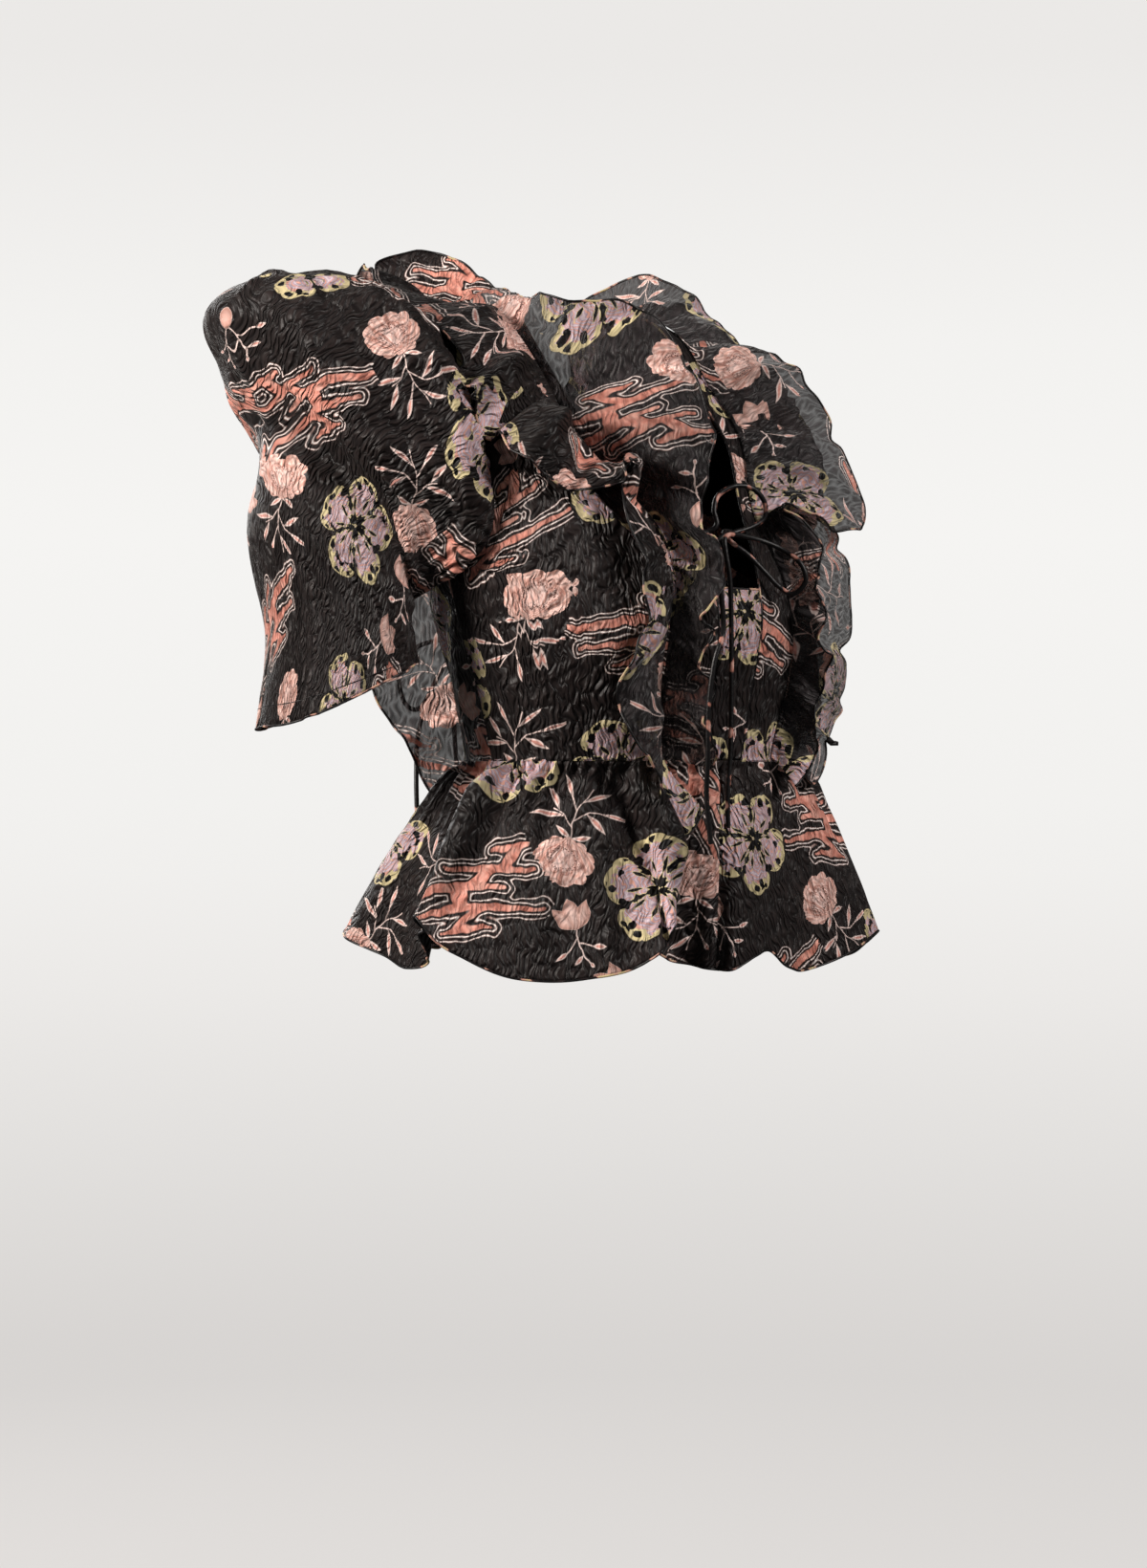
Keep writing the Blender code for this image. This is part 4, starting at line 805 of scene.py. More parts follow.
def laid_flat(sheet):
    """The sheet laid flat with its lengths kept as well as they can be, and its reach out."""
    u, v, reach = unrolled(sheet)
    rows = np.unique(np.linspace(0, len(sheet) - 1, NET_ROWS).round().astype(int))
    columns = np.unique(np.linspace(0, sheet.shape[1] - 1, NET_COLUMNS).round().astype(int))
    net = sheet[np.ix_(rows, columns)]
    flat = np.stack([u, v], axis=-1)[np.ix_(rows, columns)]
    ends = [
        ((slice(None, -1), slice(None)), (slice(1, None), slice(None))),
        ((slice(None), slice(None, -1)), (slice(None), slice(1, None))),
        ((slice(None, -1), slice(None, -1)), (slice(1, None), slice(1, None))),
        ((slice(None, -1), slice(1, None)), (slice(1, None), slice(None, -1))),
    ]
    rest = [np.linalg.norm(net[b] - net[a], axis=-1) for a, b in ends]
    for _ in range(NET_STEPS):
        move = np.zeros_like(flat)
        for (a, b), length in zip(ends, rest):
            apart = flat[b] - flat[a]
            now = np.maximum(np.linalg.norm(apart, axis=-1), 1e-6)
            pull = apart * ((now - length) / now)[..., None]
            move[a] += pull
            move[b] -= pull
        flat += move / 8
    wide = smooth(np.column_stack([rows, flat.reshape(len(rows), -1)]), np.arange(len(sheet)))
    wide = wide.reshape(len(sheet), len(columns), 2).swapaxes(0, 1).reshape(len(columns), -1)
    full = smooth(np.column_stack([columns, wide]), np.arange(sheet.shape[1]))
    full = full.reshape(sheet.shape[1], len(sheet), 2).swapaxes(0, 1)
    return full[..., 0], full[..., 1], reach


def noise_field(u, v, across, along, seed):
    """Smooth noise from 0 to 1 that changes over these lengths across and along the cloth."""
    lattice = np.random.default_rng(seed).random((LATTICE, LATTICE))
    x, y = u / across, v / along
    i, j = np.floor(x).astype(int), np.floor(y).astype(int)
    s, t = x - i, y - j
    s, t = s * s * (3 - 2 * s), t * t * (3 - 2 * t)
    i, j = i % LATTICE, j % LATTICE
    right, below = (i + 1) % LATTICE, (j + 1) % LATTICE
    near = lattice[i, j] * (1 - s) + lattice[right, j] * s
    far = lattice[i, below] * (1 - s) + lattice[right, below] * s
    return near * (1 - t) + far * t


def crinkle(u, v, seed):
    """Height of the crinkle, from 0 to 1: wavy creases that run along the cloth."""
    settings = bpy.context.scene.blouse_cloth
    width, length = settings.crease_spacing / MM, settings.crease_length / MM
    sway = (noise_field(u, v, 2.6 * width, 0.8 * length, seed) - 0.5) * 3.0 * width
    broad = noise_field(u + sway, v, width, length, seed + 1)
    fine = noise_field(u + sway, v, 0.55 * width, 0.5 * length, seed + 2)
    return 0.65 * (1 - np.abs(2 * broad - 1)) + 0.35 * fine


def gathers(u, reach, spacing, height, depth, seed):
    """Height of the small pleats that a seam draws up, uneven and fading out from it."""
    uneven = (noise_field(u, 0 * u, 2.3 * spacing, 1.0, seed) - 0.5) * 1.6 * spacing
    strength = 0.45 + 0.9 * noise_field(u, 0 * u, 1.7 * spacing, 1.0, seed + 5)
    length = depth * (0.6 + 0.8 * noise_field(u, 0 * u, 1.3 * spacing, 1.0, seed + 9))
    wave = np.cos(2 * math.pi * (u + uneven) / spacing)
    return height * strength * wave * np.exp(-reach / length) * np.clip(reach / 1.5, 0.25, 1)


def flutter(u, reach, spacing, height, seed):
    """Soft waves that grow towards a free edge, each of its own length and height."""
    share = reach / reach[:, -1:]
    wide = noise_field(u, 0 * u, spacing, 1.0, seed) - 0.5
    narrow = noise_field(u + 5 * share, 0 * u, 0.42 * spacing, 1.0, seed + 1) - 0.5
    return height * (1.5 * wide + 0.6 * narrow) * share**1.4


def folded(u, v, folds):
    """Height of the folds laid by hand, which fade at both ends unless they run off an edge."""
    height = np.zeros_like(u)
    rows, columns = u.shape
    for a0, b0, a1, b1, width, rise in folds:
        i0, j0 = round(a0 * (rows - 1)), round(b0 * (columns - 1))
        i1, j1 = round(a1 * (rows - 1)), round(b1 * (columns - 1))
        start = np.array([u[i0, j0], v[i0, j0]])
        run = np.array([u[i1, j1], v[i1, j1]]) - start
        du, dv = u - start[0], v - start[1]
        held = np.clip((du * run[0] + dv * run[1]) / (run @ run), 0, 1)
        away = np.hypot(du - held * run[0], dv - held * run[1])
        start_fade = np.clip(0.15 + held / 0.3, 0, 1)
        end_fade = 1.0 if b1 > 0.98 else np.clip(0.1 + (1 - held) / 0.4, 0, 1)
        height += rise * start_fade * end_fade * np.exp(-((away / width) ** 2))
    return height


def from_seams(sheet, seams):
    """How far each point lies from the nearest sewn edge: first, last, near or far."""
    nearest = np.full(sheet.shape[:2], 1000.0)
    for name in seams:
        axis = 0 if name in ("first", "last") else 1
        line = sheet if name in ("first", "near") else np.flip(sheet, axis)
        steps = np.linalg.norm(np.diff(line, axis=axis), axis=2)
        away = np.cumsum(np.insert(steps, 0, 0, axis=axis), axis=axis)
        nearest = np.minimum(nearest, away if name in ("first", "near") else np.flip(away, axis))
    return nearest


def print_faces(u, v, shift, turn):
    """The motif under each face: its kind, 0 for none, and its place, turn and size."""
    c, s = math.cos(math.radians(turn)), math.sin(math.radians(turn))
    x, y = u * c + v * s + shift[0], -u * s + v * c + shift[1]
    kinds = np.zeros(u.shape, int)
    nearest = np.ones(u.shape)
    places = np.zeros(u.shape + (4,))
    places[..., 3] = 1.0
    for name, mx, my, motif_turn, size in PRINT_REPEAT:
        dx = (x - mx + REPEAT_WIDTH / 2) % REPEAT_WIDTH - REPEAT_WIDTH / 2
        dy = (y - my + REPEAT_LENGTH / 2) % REPEAT_LENGTH - REPEAT_LENGTH / 2
        a = math.radians(motif_turn)
        p = (dx * math.cos(a) + dy * math.sin(a)) / size
        q = (-dx * math.sin(a) + dy * math.cos(a)) / size
        left, right, top, foot = MOTIF_EXTENT[name]
        across = (2 * p - left - right) / (right - left)
        down = (2 * q - top - foot) / (foot - top)
        reach = np.hypot(across, down)
        over = reach < nearest
        nearest = np.where(over, reach, nearest)
        kinds = np.where(over, MOTIFS.index(name), kinds)
        place = [u - (dx * c - dy * s), v - (dx * s + dy * c), u * 0 + turn + motif_turn]
        place = np.stack(place + [u * 0 + size], axis=-1)
        places = np.where(over[..., None], place, places)
    return kinds, places


def lay_cloth(node, grid, closed=False, turned=False):
    """A thin shell in place of a CAD node, creased and folded, with the print laid on it."""
    settings = bpy.context.scene.blouse_cloth
    look = LOOKS[node]
    rows, columns = grid.shape[:2]
    sheet = np.concatenate([grid, grid[:1]]) if closed else grid
    u, v, reach = laid_flat(sheet)
    out = grid_normals(grid, closed) * (-1 if turned else 1)
    out = np.concatenate([out, out[:1]]) if closed else out
    height = settings.crease_height / MM * (crinkle(u, v, look["seed"]) - 0.5)
    height += folded(u, v, look.get("folds", ()))
    if "gathers" in look:
        along = walked(np.linalg.norm(np.diff(sheet[:, 0], axis=0), axis=1))
        along = np.broadcast_to(along[:, None], reach.shape)
        height += gathers(along, reach, *look["gathers"], look["seed"] + 20)
    if "spring" in look:
        rise, far = look["spring"]
        height += rise * np.exp(-(((reach - far) / (0.7 * far)) ** 2))
    if "flutter" in look:
        height += flutter(along, reach, *look["flutter"], look["seed"] + 40)
    relief = height.copy()
    away = from_seams(sheet, look["seams"])
    height *= 1 - np.exp(-((away / SEAM_HOLD) ** 2))
    height -= SEAM_DEPTH * np.exp(-((away / SEAM_WIDTH) ** 2))
    sheet = sheet + out * height[..., None]
    grid = sheet[:rows]
    last = rows if closed else rows - 1
    i, j = np.meshgrid(np.arange(last), np.arange(columns - 1), indexing="ij")
    corners = [(i, j), (i + 1, j), (i + 1, j + 1), (i, j + 1)]
    if turned:
        corners = corners[::-1]
    ids = np.stack([(a % rows) * columns + b for a, b in corners], axis=-1).reshape(-1, 4)
    mesh = bpy.data.meshes.new(node + "_cloth")
    mesh.from_pydata((grid.reshape(-1, 3) * MM).tolist(), [], ids.tolist())
    cu = np.stack([u[a, b] for a, b in corners], axis=-1)
    cv = np.stack([v[a, b] for a, b in corners], axis=-1)
    kinds, places = print_faces(cu.mean(-1), cv.mean(-1), look["print"][:2], look["print"][2])
    angle, size = np.radians(places[..., 2:3]), places[..., 3:4]
    du, dv = cu - places[..., 0:1], cv - places[..., 1:2]
    across = (du * np.cos(angle) + dv * np.sin(angle)) / size
    down = (-du * np.sin(angle) + dv * np.cos(angle)) / size
    for name, pair in (("cloth", (cu * MM, cv * MM)), ("motif", (across, -down))):
        layer = mesh.uv_layers.new(name=name)
        layer.data.foreach_set("uv", np.stack(pair, -1).astype(np.float32).ravel())
    # Height of the folds, from which the materials paint shade in the hollows and light on the tops.
    hollow = mesh.attributes.new("relief", "FLOAT", "POINT")
    hollow.data.foreach_set("value", relief[:rows].astype(np.float32).ravel())
    for name in MOTIFS:
        mesh.materials.append(bpy.data.materials[f"{look['cloth']}_organza_{name}"])
    # Painted shade: faces in this span take the darker lined cloth, which lets no light through.
    if "painted_shade_span" in look:
        first, final = (share * last for share in look["painted_shade_span"])
        kinds = np.where((i >= first) & (i < final), kinds + len(MOTIFS), kinds)
        for name in MOTIFS:
            mesh.materials.append(bpy.data.materials[f"lined_organza_{name}"])
    mesh.polygons.foreach_set("material_index", kinds.ravel().astype(np.int32))
    mesh.shade_smooth()
    piece = placed(node + "_cloth", mesh)
    shell = piece.modifiers.new("thickness", "SOLIDIFY")
    shell.thickness = settings.thickness
    shell.offset = 0.0
    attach(piece, "root")
    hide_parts(node)
    return grid


# ---------------------------------------------------------------- materials


def linear(text):
    """The linear colour of an sRGB hex value such as #a58d9b, with nothing seen through it."""
    parts = [int(text[i : i + 2], 16) / 255 for i in (1, 3, 5)]
    return [c / 12.92 if c < 0.04045 else ((c + 0.055) / 1.055) ** 2.4 for c in parts] + [1.0]


def add(tree, kind, *inputs, **settings):
    """A node of this kind, with its settings made and its inputs linked or given values.

    The inputs come in the order of the sockets, or as one dict by name or number.
    """
    node = tree.nodes.new("ShaderNode" + kind)
    for name, value in settings.items():
        setattr(node, name, value)
    by_socket = inputs[0] if inputs and isinstance(inputs[0], dict) else dict(enumerate(inputs))
    for name, value in by_socket.items():
        if isinstance(value, bpy.types.Node):
            value = next(output for output in value.outputs if output.enabled)
        if isinstance(value, bpy.types.NodeSocket):
            tree.links.new(value, node.inputs[name])
        else:
            node.inputs[name].default_value = value
    return node


def new_material(name):
    """A new material, its node tree and its surface shader."""
    material = bpy.data.materials.new(name)
    material.use_nodes = True
    return material, material.node_tree, material.node_tree.nodes["Principled BSDF"]


def stroke(tree, place, start, end):
    """How far a place is from a straight stroke, and its share of the way along it."""
    start, end = Vector((*start, 0)), Vector((*end, 0))
    run = end - start
    offset = add(tree, "VectorMath", place, start, operation="SUBTRACT")
    ahead = add(tree, "VectorMath", offset, run / run.length_squared, operation="DOT_PRODUCT")
    share = add(tree, "Clamp", ahead)
    nearest = add(tree, "VectorMath", {0: run, 3: share}, operation="SCALE")
    return add(tree, "VectorMath", offset, nearest, operation="DISTANCE"), share


def nearest_stem(tree, place, lines):
    """How far a place is from the nearest of these strokes."""
    best = None
    for start, end in lines:
        away, _ = stroke(tree, place, start, end)
        best = add(tree, "Math", best, away, operation="MINIMUM") if best else away
    return best


def nearest_leaf(tree, place, leaves):
    """How far outside the nearest of these pointed leaves a place is, below 0 inside."""
    best = None
    for start, end, half_width in leaves:
        away, share = stroke(tree, place, start, end)
        turn = add(tree, "Math", share, math.pi, operation="MULTIPLY")
        swell = add(tree, "Math", turn, operation="SINE")
        half = add(tree, "Math", swell, half_width, operation="MULTIPLY")
        edge = add(tree, "Math", away, half, operation="SUBTRACT")
        best = add(tree, "Math", best, edge, operation="MINIMUM") if best else edge
    return best


def swayed(tree, place, scale, amount):
    """The place moved a little by slow noise, so drawn lines bend."""
    noise = {"Vector": place, "Scale": scale, "Detail": 1.0}
    noise = add(tree, "TexNoise", noise, noise_dimensions="2D")
    shift = add(tree, "VectorMath", noise.outputs["Color"], (0.5, 0.5, 0.5), operation="SUBTRACT")
    shift = add(tree, "VectorMath", {0: shift, 3: amount}, operation="SCALE")
    flat = add(tree, "VectorMath", shift, (1, 1, 0), operation="MULTIPLY")
    return add(tree, "VectorMath", place, flat, operation="ADD")


def polar(tree, place, centre, stretch):
    """Distance from a centre, the angle round it in turns from -0.5 to 0.5, and the offset."""
    offset = add(tree, "VectorMath", place, (*centre, 0), operation="SUBTRACT")
    offset = add(tree, "VectorMath", offset, (*stretch, 0), operation="MULTIPLY")
    away = add(tree, "VectorMath", offset, operation="LENGTH")
    parts = add(tree, "SeparateXYZ", offset)
    angle = add(tree, "Math", parts.outputs[0], parts.outputs[1], operation="ARCTAN2")
    return away, add(tree, "Math", angle, 0.5 / math.pi, operation="MULTIPLY"), offset


def wave(tree, angle, count, power):
    """Bumps round a flower: 0 at the notches and 1 between them, this many to the turn."""
    turn = add(tree, "Math", angle, math.pi * count, operation="MULTIPLY")
    bump = add(tree, "Math", add(tree, "Math", turn, operation="SINE"), operation="ABSOLUTE")
    return add(tree, "Math", bump, power, operation="POWER")


def below(tree, value, limit):
    """1 where the value is under the limit and 0 elsewhere, with a soft printed edge."""
    return add(tree, "MapRange", value, limit - 0.006, limit + 0.006, 1.0, 0.0)


def painted(tree, under, over, cover):
    """One colour over another where the cover is 1."""
    return add(tree, "Mix", {0: cover, 6: under, 7: over}, data_type="RGBA")


# The motifs are drawn in units of their own size, from their own middle. The numbers in
# their functions are places, widths and shares in those units.


def draw_carnation(tree, place):
    """A frilled carnation head over long bent stems with slender two-tone leaves."""
    colours = bpy.context.scene.blouse_print
    bent = swayed(tree, place, 1.6, 0.16)
    stems = below(tree, nearest_stem(tree, bent, CARNATION_STEMS), 0.010)
    leaf = nearest_leaf(tree, bent, CARNATION_LEAVES)
    leaves = below(tree, leaf, 0.0)
    heart = below(tree, leaf, -0.028)
    away, angle, offset = polar(tree, place, (0.0, 0.36), (1.75, 2.25))
    rough = add(tree, "TexNoise", {"Vector": place, "Scale": 4.5, "Detail": 2.0}, noise_dimensions="2D")
    frill = wave(tree, angle, 11, 0.6)
    rise = add(tree, "SeparateXYZ", offset).outputs[1]
    up = add(tree, "Math", rise, away, operation="DIVIDE")
    reach = add(tree, "Math", up, 0.14, 0.80, operation="MULTIPLY_ADD")
    reach = add(tree, "Math", frill, 0.10, reach, operation="MULTIPLY_ADD")
    reach = add(tree, "Math", rough, 0.22, reach, operation="MULTIPLY_ADD")
    share = add(tree, "Math", away, reach, operation="DIVIDE")
    head = below(tree, share, 1.0)
    _, fan, _ = polar(tree, place, (0.0, -0.06), (1.0, 1.0))
    streak_place = add(tree, "CombineXYZ", fan, share)
    streaks = add(tree, "VectorMath", streak_place, (46, 2.2, 0), operation="MULTIPLY")
    streaks = {"Vector": streaks, "Scale": 1.0, "Detail": 2.0}
    streaks = add(tree, "TexNoise", streaks, noise_dimensions="2D")
    petal = add(tree, "ValToRGB", streaks)
    set_ramp(petal, CARNATION_STREAKS)
    inner_frill = wave(tree, angle, 7, 0.7)
    inner = add(tree, "Math", inner_frill, 0.16, 0.46, operation="MULTIPLY_ADD")
    gap = add(tree, "Math", share, inner, operation="SUBTRACT")
    ring = add(tree, "ValToRGB", add(tree, "Math", gap, 0.5, operation="ADD"))
    set_ramp(ring, CARNATION_RINGS)
    shaded = {0: 0.75, 6: petal, 7: ring}
    petal = add(tree, "Mix", shaded, data_type="RGBA", blend_type="MULTIPLY")
    scales = add(tree, "VectorMath", streak_place, (17, 3.4, 0), operation="MULTIPLY")
    scales = {"Vector": scales, "Scale": 1.0}
    scales = add(tree, "TexVoronoi", scales, voronoi_dimensions="2D", feature="DISTANCE_TO_EDGE")
    outline = add(tree, "MapRange", scales, 0.0, 0.16, 0.62, 1.04)
    petal = add(tree, "Mix", {0: 1.0, 6: petal, 7: outline}, data_type="RGBA", blend_type="MULTIPLY")
    dots = {"Vector": place, "Scale": 26.0}
    dots = add(tree, "TexVoronoi", dots, voronoi_dimensions="2D", feature="F1")
    dot = below(tree, dots.outputs["Distance"], 0.30)
    band = add(tree, "Math", share, 0.44, 0.07, operation="COMPARE")
    dot = add(tree, "Math", dot, band, operation="MULTIPLY")
    petal = painted(tree, petal, linear(colours.line_dark), dot)
    colour = painted(tree, linear(colours.stem), linear(colours.coral), heart)
    colour = painted(tree, colour, petal, head)
    cover = add(tree, "Math", stems, leaves, operation="MAXIMUM")
    return colour, add(tree, "Math", cover, head, operation="MAXIMUM")


def draw_sprig(tree, place):
    """A small bud on a bent stem with a few leaves."""
    colours = bpy.context.scene.blouse_print
    bent = swayed(tree, place, 1.8, 0.14)
    stems = below(tree, nearest_stem(tree, bent, SPRIG_STEMS), 0.019)
    leaf = nearest_leaf(tree, bent, SPRIG_LEAVES)
    leaves = below(tree, leaf, 0.0)
    heart = below(tree, leaf, -0.04)
    bud = nearest_leaf(tree, bent, SPRIG_PETALS)
    petals = below(tree, bud, 0.0)
    fold = add(tree, "ValToRGB", add(tree, "Math", bud, 0.5, operation="ADD"))
    set_ramp(fold, SPRIG_SHADES)
    colour = painted(tree, linear(colours.stem), linear(colours.coral), heart)
    colour = painted(tree, colour, fold, petals)
    cover = add(tree, "Math", stems, leaves, operation="MAXIMUM")
    return colour, add(tree, "Math", cover, petals, operation="MAXIMUM")


def draw_blossom(tree, place):
    """A five-petal blossom: lilac with pink veins, a flecked pale border and a dark heart."""
    colours = bpy.context.scene.blouse_print
    rough = add(tree, "TexNoise", {"Vector": place, "Scale": 9.0, "Detail": 2.0}, noise_dimensions="2D")
    slow = add(tree, "TexNoise", {"Vector": place, "Scale": 1.5, "Detail": 1.0}, noise_dimensions="2D")
    place = swayed(tree, place, 1.4, 0.14)
    away, angle, _ = polar(tree, place, (0.0, 0.0), (1.0, 1.0))
    lobes = wave(tree, angle, 5, 0.45)
    scallops = wave(tree, angle, 15, 0.7)
    reach = add(tree, "Math", lobes, 0.36, 0.40, operation="MULTIPLY_ADD")
    reach = add(tree, "Math", scallops, 0.05, reach, operation="MULTIPLY_ADD")
    reach = add(tree, "Math", slow, 0.34, reach, operation="MULTIPLY_ADD")
    share = add(tree, "Math", away, reach, operation="DIVIDE")
    whole = below(tree, share, 1.0)
    ragged = add(tree, "Math", rough, 0.42, share, operation="MULTIPLY_ADD")
    inside = below(tree, ragged, 1.04)
    tide = add(tree, "TexNoise", {"Vector": place, "Scale": 3.0, "Detail": 2.0}, noise_dimensions="2D")
    veins = add(tree, "Math", tide, 0.42, share, operation="MULTIPLY_ADD")
    veins = add(tree, "Math", veins, 84.0, operation="MULTIPLY")
    veins = add(tree, "Math", veins, operation="SINE")
    veins = add(tree, "Math", veins, 0.5, 0.5, operation="MULTIPLY_ADD")
    petal = add(tree, "ValToRGB", veins)
    set_ramp(petal, BLOSSOM_VEINS)
    split = wave(tree, angle, 5, 1.0)
    split = add(tree, "Math", split, away, operation="MULTIPLY")
    beads = add(tree, "Math", away, 11.0, operation="MULTIPLY")
    beads = add(tree, "Math", add(tree, "Math", beads, operation="SINE"), operation="ABSOLUTE")
    leaf_width = add(tree, "Math", beads, 0.13, 0.01, operation="MULTIPLY_ADD")
    leaf_edge = add(tree, "Math", split, leaf_width, operation="SUBTRACT")
    middle = wave(tree, add(tree, "Math", angle, 0.06, operation="ADD"), 10, 1.0)
    middle = add(tree, "Math", middle, away, operation="MULTIPLY")
    dash = add(tree, "Math", beads, 0.15, operation="MULTIPLY")
    dash_edge = add(tree, "Math", middle, dash, operation="SUBTRACT")
    outer = add(tree, "Math", away, 0.56, operation="SUBTRACT")
    dash_edge = add(tree, "Math", dash_edge, outer, operation="MAXIMUM")
    marks = add(tree, "Math", leaf_edge, dash_edge, operation="MINIMUM")
    uneven = add(tree, "Math", rough, 0.24, -0.10, operation="MULTIPLY_ADD")
    marks = add(tree, "Math", marks, uneven, operation="ADD")
    flecks = {"Vector": place, "Scale": 4.6, "Randomness": 0.9}
    flecks = add(tree, "TexVoronoi", flecks, voronoi_dimensions="2D", feature="F1")
    fleck = add(tree, "Math", rough, 0.5, flecks.outputs["Distance"], operation="MULTIPLY_ADD")
    fleck = below(tree, fleck, 0.60)
    border = add(tree, "Math", share, 0.84, 0.12, operation="COMPARE")
    fleck = add(tree, "Math", fleck, border, operation="MULTIPLY")
    colour = painted(tree, linear(colours.border), petal, inside)
    colour = painted(tree, colour, linear(colours.border), below(tree, marks, 0.040))
    colour = painted(tree, colour, linear(colours.lined_low), below(tree, marks, 0.0))
    colour = painted(tree, colour, linear(colours.lined_low), fleck)
    return colour, whole


def draw_stream(tree, place):
    """A branching coral stream inside two loose white lines, stepped like drifting cloud."""
    colours = bpy.context.scene.blouse_print
    loose = add(tree, "TexNoise", {"Vector": place, "Scale": 2.6, "Detail": 1.0}, noise_dimensions="2D")
    place = swayed(tree, place, 1.15, 0.20)
    place = swayed(tree, place, 5.0, 0.07)
    best = None
    for start, end, radius in STREAM_ARMS:
        away, share = stroke(tree, place, start, end)
        turn = add(tree, "Math", share, 2.14, 0.5, operation="MULTIPLY_ADD")
        swell = add(tree, "Math", turn, operation="SINE")
        half = add(tree, "Math", swell, radius, operation="MULTIPLY")
        edge = add(tree, "Math", away, half, operation="SUBTRACT")
        best = add(tree, "Math", best, edge, 0.06, operation="SMOOTH_MIN") if best else edge
    lines = None
    for out, half_width, wander in STREAM_LINES:
        middle = add(tree, "Math", loose, wander, out - wander / 2, operation="MULTIPLY_ADD")
        off = add(tree, "Math", best, middle, operation="SUBTRACT")
        line = below(tree, add(tree, "Math", off, operation="ABSOLUTE"), half_width)
        lines = add(tree, "Math", lines, line, operation="MAXIMUM") if lines else line
    tint = add(tree, "TexNoise", {"Vector": place, "Scale": 6.0, "Detail": 3.0}, noise_dimensions="2D")
    body = add(tree, "ValToRGB", tint)
    set_ramp(body, STREAM_BODY)
    colour = painted(tree, body, linear(colours.line_white), lines)
    cover = add(tree, "Math", below(tree, best, 0.0), lines, operation="MAXIMUM")
    return colour, cover


def set_ramp(node, stops):
    """Give a colour ramp these stops, each a place from 0 to 1 and an sRGB hex value."""
    elements = node.color_ramp.elements
    while len(elements) < len(stops):
        elements.new(0.5)
    for element, (place, colour) in zip(elements, stops):
        element.position = place
        element.color = linear(colour)


def crinkled_organza(name, sheer, ground, draw=None):
    """Black silk-nylon organza shrunk into creases after weaving, with a motif printed on."""
    settings = bpy.context.scene.blouse_print
    material, tree, shader = new_material(name)
    cloth = add(tree, "UVMap", uv_map="cloth")
    # The small creases stand about 4.4 mm apart (225 to the metre) and run about 15 mm along the
    # cloth (66 to the metre): soft pillows that glint on top, with sharp dark valleys between; the glint
    # and the dark come from the bump and from painted highlight and painted shade in the colour.
    bent = swayed(tree, cloth, 55.0, 0.012)
    long = add(tree, "VectorMath", bent, (225, 66, 1), operation="MULTIPLY")
    cells = {"Vector": long, "Scale": 1.0}
    cells = add(tree, "TexVoronoi", cells, voronoi_dimensions="2D", feature="DISTANCE_TO_EDGE")
    pillow = add(tree, "MapRange", cells, 0.0, 0.34, 0.0, 1.0, interpolation_type="SMOOTHSTEP")
    fine = add(tree, "VectorMath", long, (1.9, 1.6, 1), operation="MULTIPLY")
    fine = {"Vector": fine, "Scale": 1.0, "Detail": 1.0, "Roughness": 0.5}
    fine = add(tree, "TexNoise", fine, noise_dimensions="2D")
    ridge = add(tree, "Math", pillow, 0.6, operation="MULTIPLY")
    ridge = add(tree, "Math", fine, 0.7, ridge, operation="MULTIPLY_ADD")
    depth = 0.0016 if sheer else 0.0024
    bump = add(tree, "Bump", {"Strength": 1.0, "Distance": depth, "Height": ridge})
    # Painted highlight and shade: the ground colour is lighter on the crease tops and darker in the
    # valleys.
    low, high = (linear(colour) for colour in ground)
    ground = painted(tree, low, high, ridge)
    if draw:
        place = add(tree, "UVMap", uv_map="motif")
        motif, cover = draw(tree, place)
        # Painted highlight and shade on the print as well: darker in the crease valleys, lighter on the
        # tops.
        shade = add(tree, "MapRange", ridge, 0.2, 1.0, 0.82, 1.10)
        motif = add(tree, "Mix", {0: 1.0, 6: motif, 7: shade}, data_type="RGBA", blend_type="MULTIPLY")
        ground = painted(tree, ground, motif, cover)
    # A single layer lets light through, less where it is printed and on top of a crease.
    if sheer:
        alpha = settings.cover_sheer
        if draw:
            alpha = add(tree, "MapRange", cover, 0.0, 1.0, alpha, settings.cover_print)
        dense = add(tree, "MapRange", ridge, 0.2, 1.0, 0.84, 1.14)
        dense = add(tree, "Math", dense, alpha, operation="MULTIPLY", use_clamp=True)
        tree.links.new(dense.outputs[0], shader.inputs["Alpha"])
    # Painted shade and light: the colour is darker at the bottom of a fold and lighter on its top.
    relief = add(tree, "Attribute", attribute_name="relief").outputs["Fac"]
    painted_fold_shading = add(tree, "MapRange", relief, -3.5, 3.5, 0.6, 1.25)
    ground = add(tree, "Mix", {0: 1.0, 6: ground, 7: painted_fold_shading}, data_type="RGBA", blend_type="MULTIPLY")
    tree.links.new(ground.outputs[2], shader.inputs["Base Color"])
    tree.links.new(bump.outputs[0], shader.inputs["Normal"])
    shader.inputs["Roughness"].default_value = 0.46
    shader.inputs["Specular IOR Level"].default_value = 0.17
    shader.inputs["Sheen Weight"].default_value = 0.22 if sheer else 0.06
    shader.inputs["Sheen Roughness"].default_value = 0.4
    return material


def rouleau_satin(name, colours):
    """Bias-cut organza sewn into a round tube and turned, or a rolled hem or a spun thread.

    The turned cloth has a low soft gloss, and bits of the print show on it as flecks.
    """
    material, tree, shader = new_material(name)
    place = add(tree, "TexCoord").outputs["Object"]
    twist = add(tree, "TexNoise", {"Vector": place, "Scale": 420.0, "Detail": 2.0})
    flecks = add(tree, "TexNoise", {"Vector": place, "Scale": 60.0, "Detail": 2.0})
    colour = add(tree, "ValToRGB", flecks)
    set_ramp(colour, colours)
    bump = add(tree, "Bump", {"Strength": 0.5, "Distance": 0.0005, "Height": twist})
    tree.links.new(colour.outputs[0], shader.inputs["Base Color"])
    tree.links.new(bump.outputs[0], shader.inputs["Normal"])
    shader.inputs["Roughness"].default_value = 0.42
    shader.inputs["Specular IOR Level"].default_value = 0.3
    return material


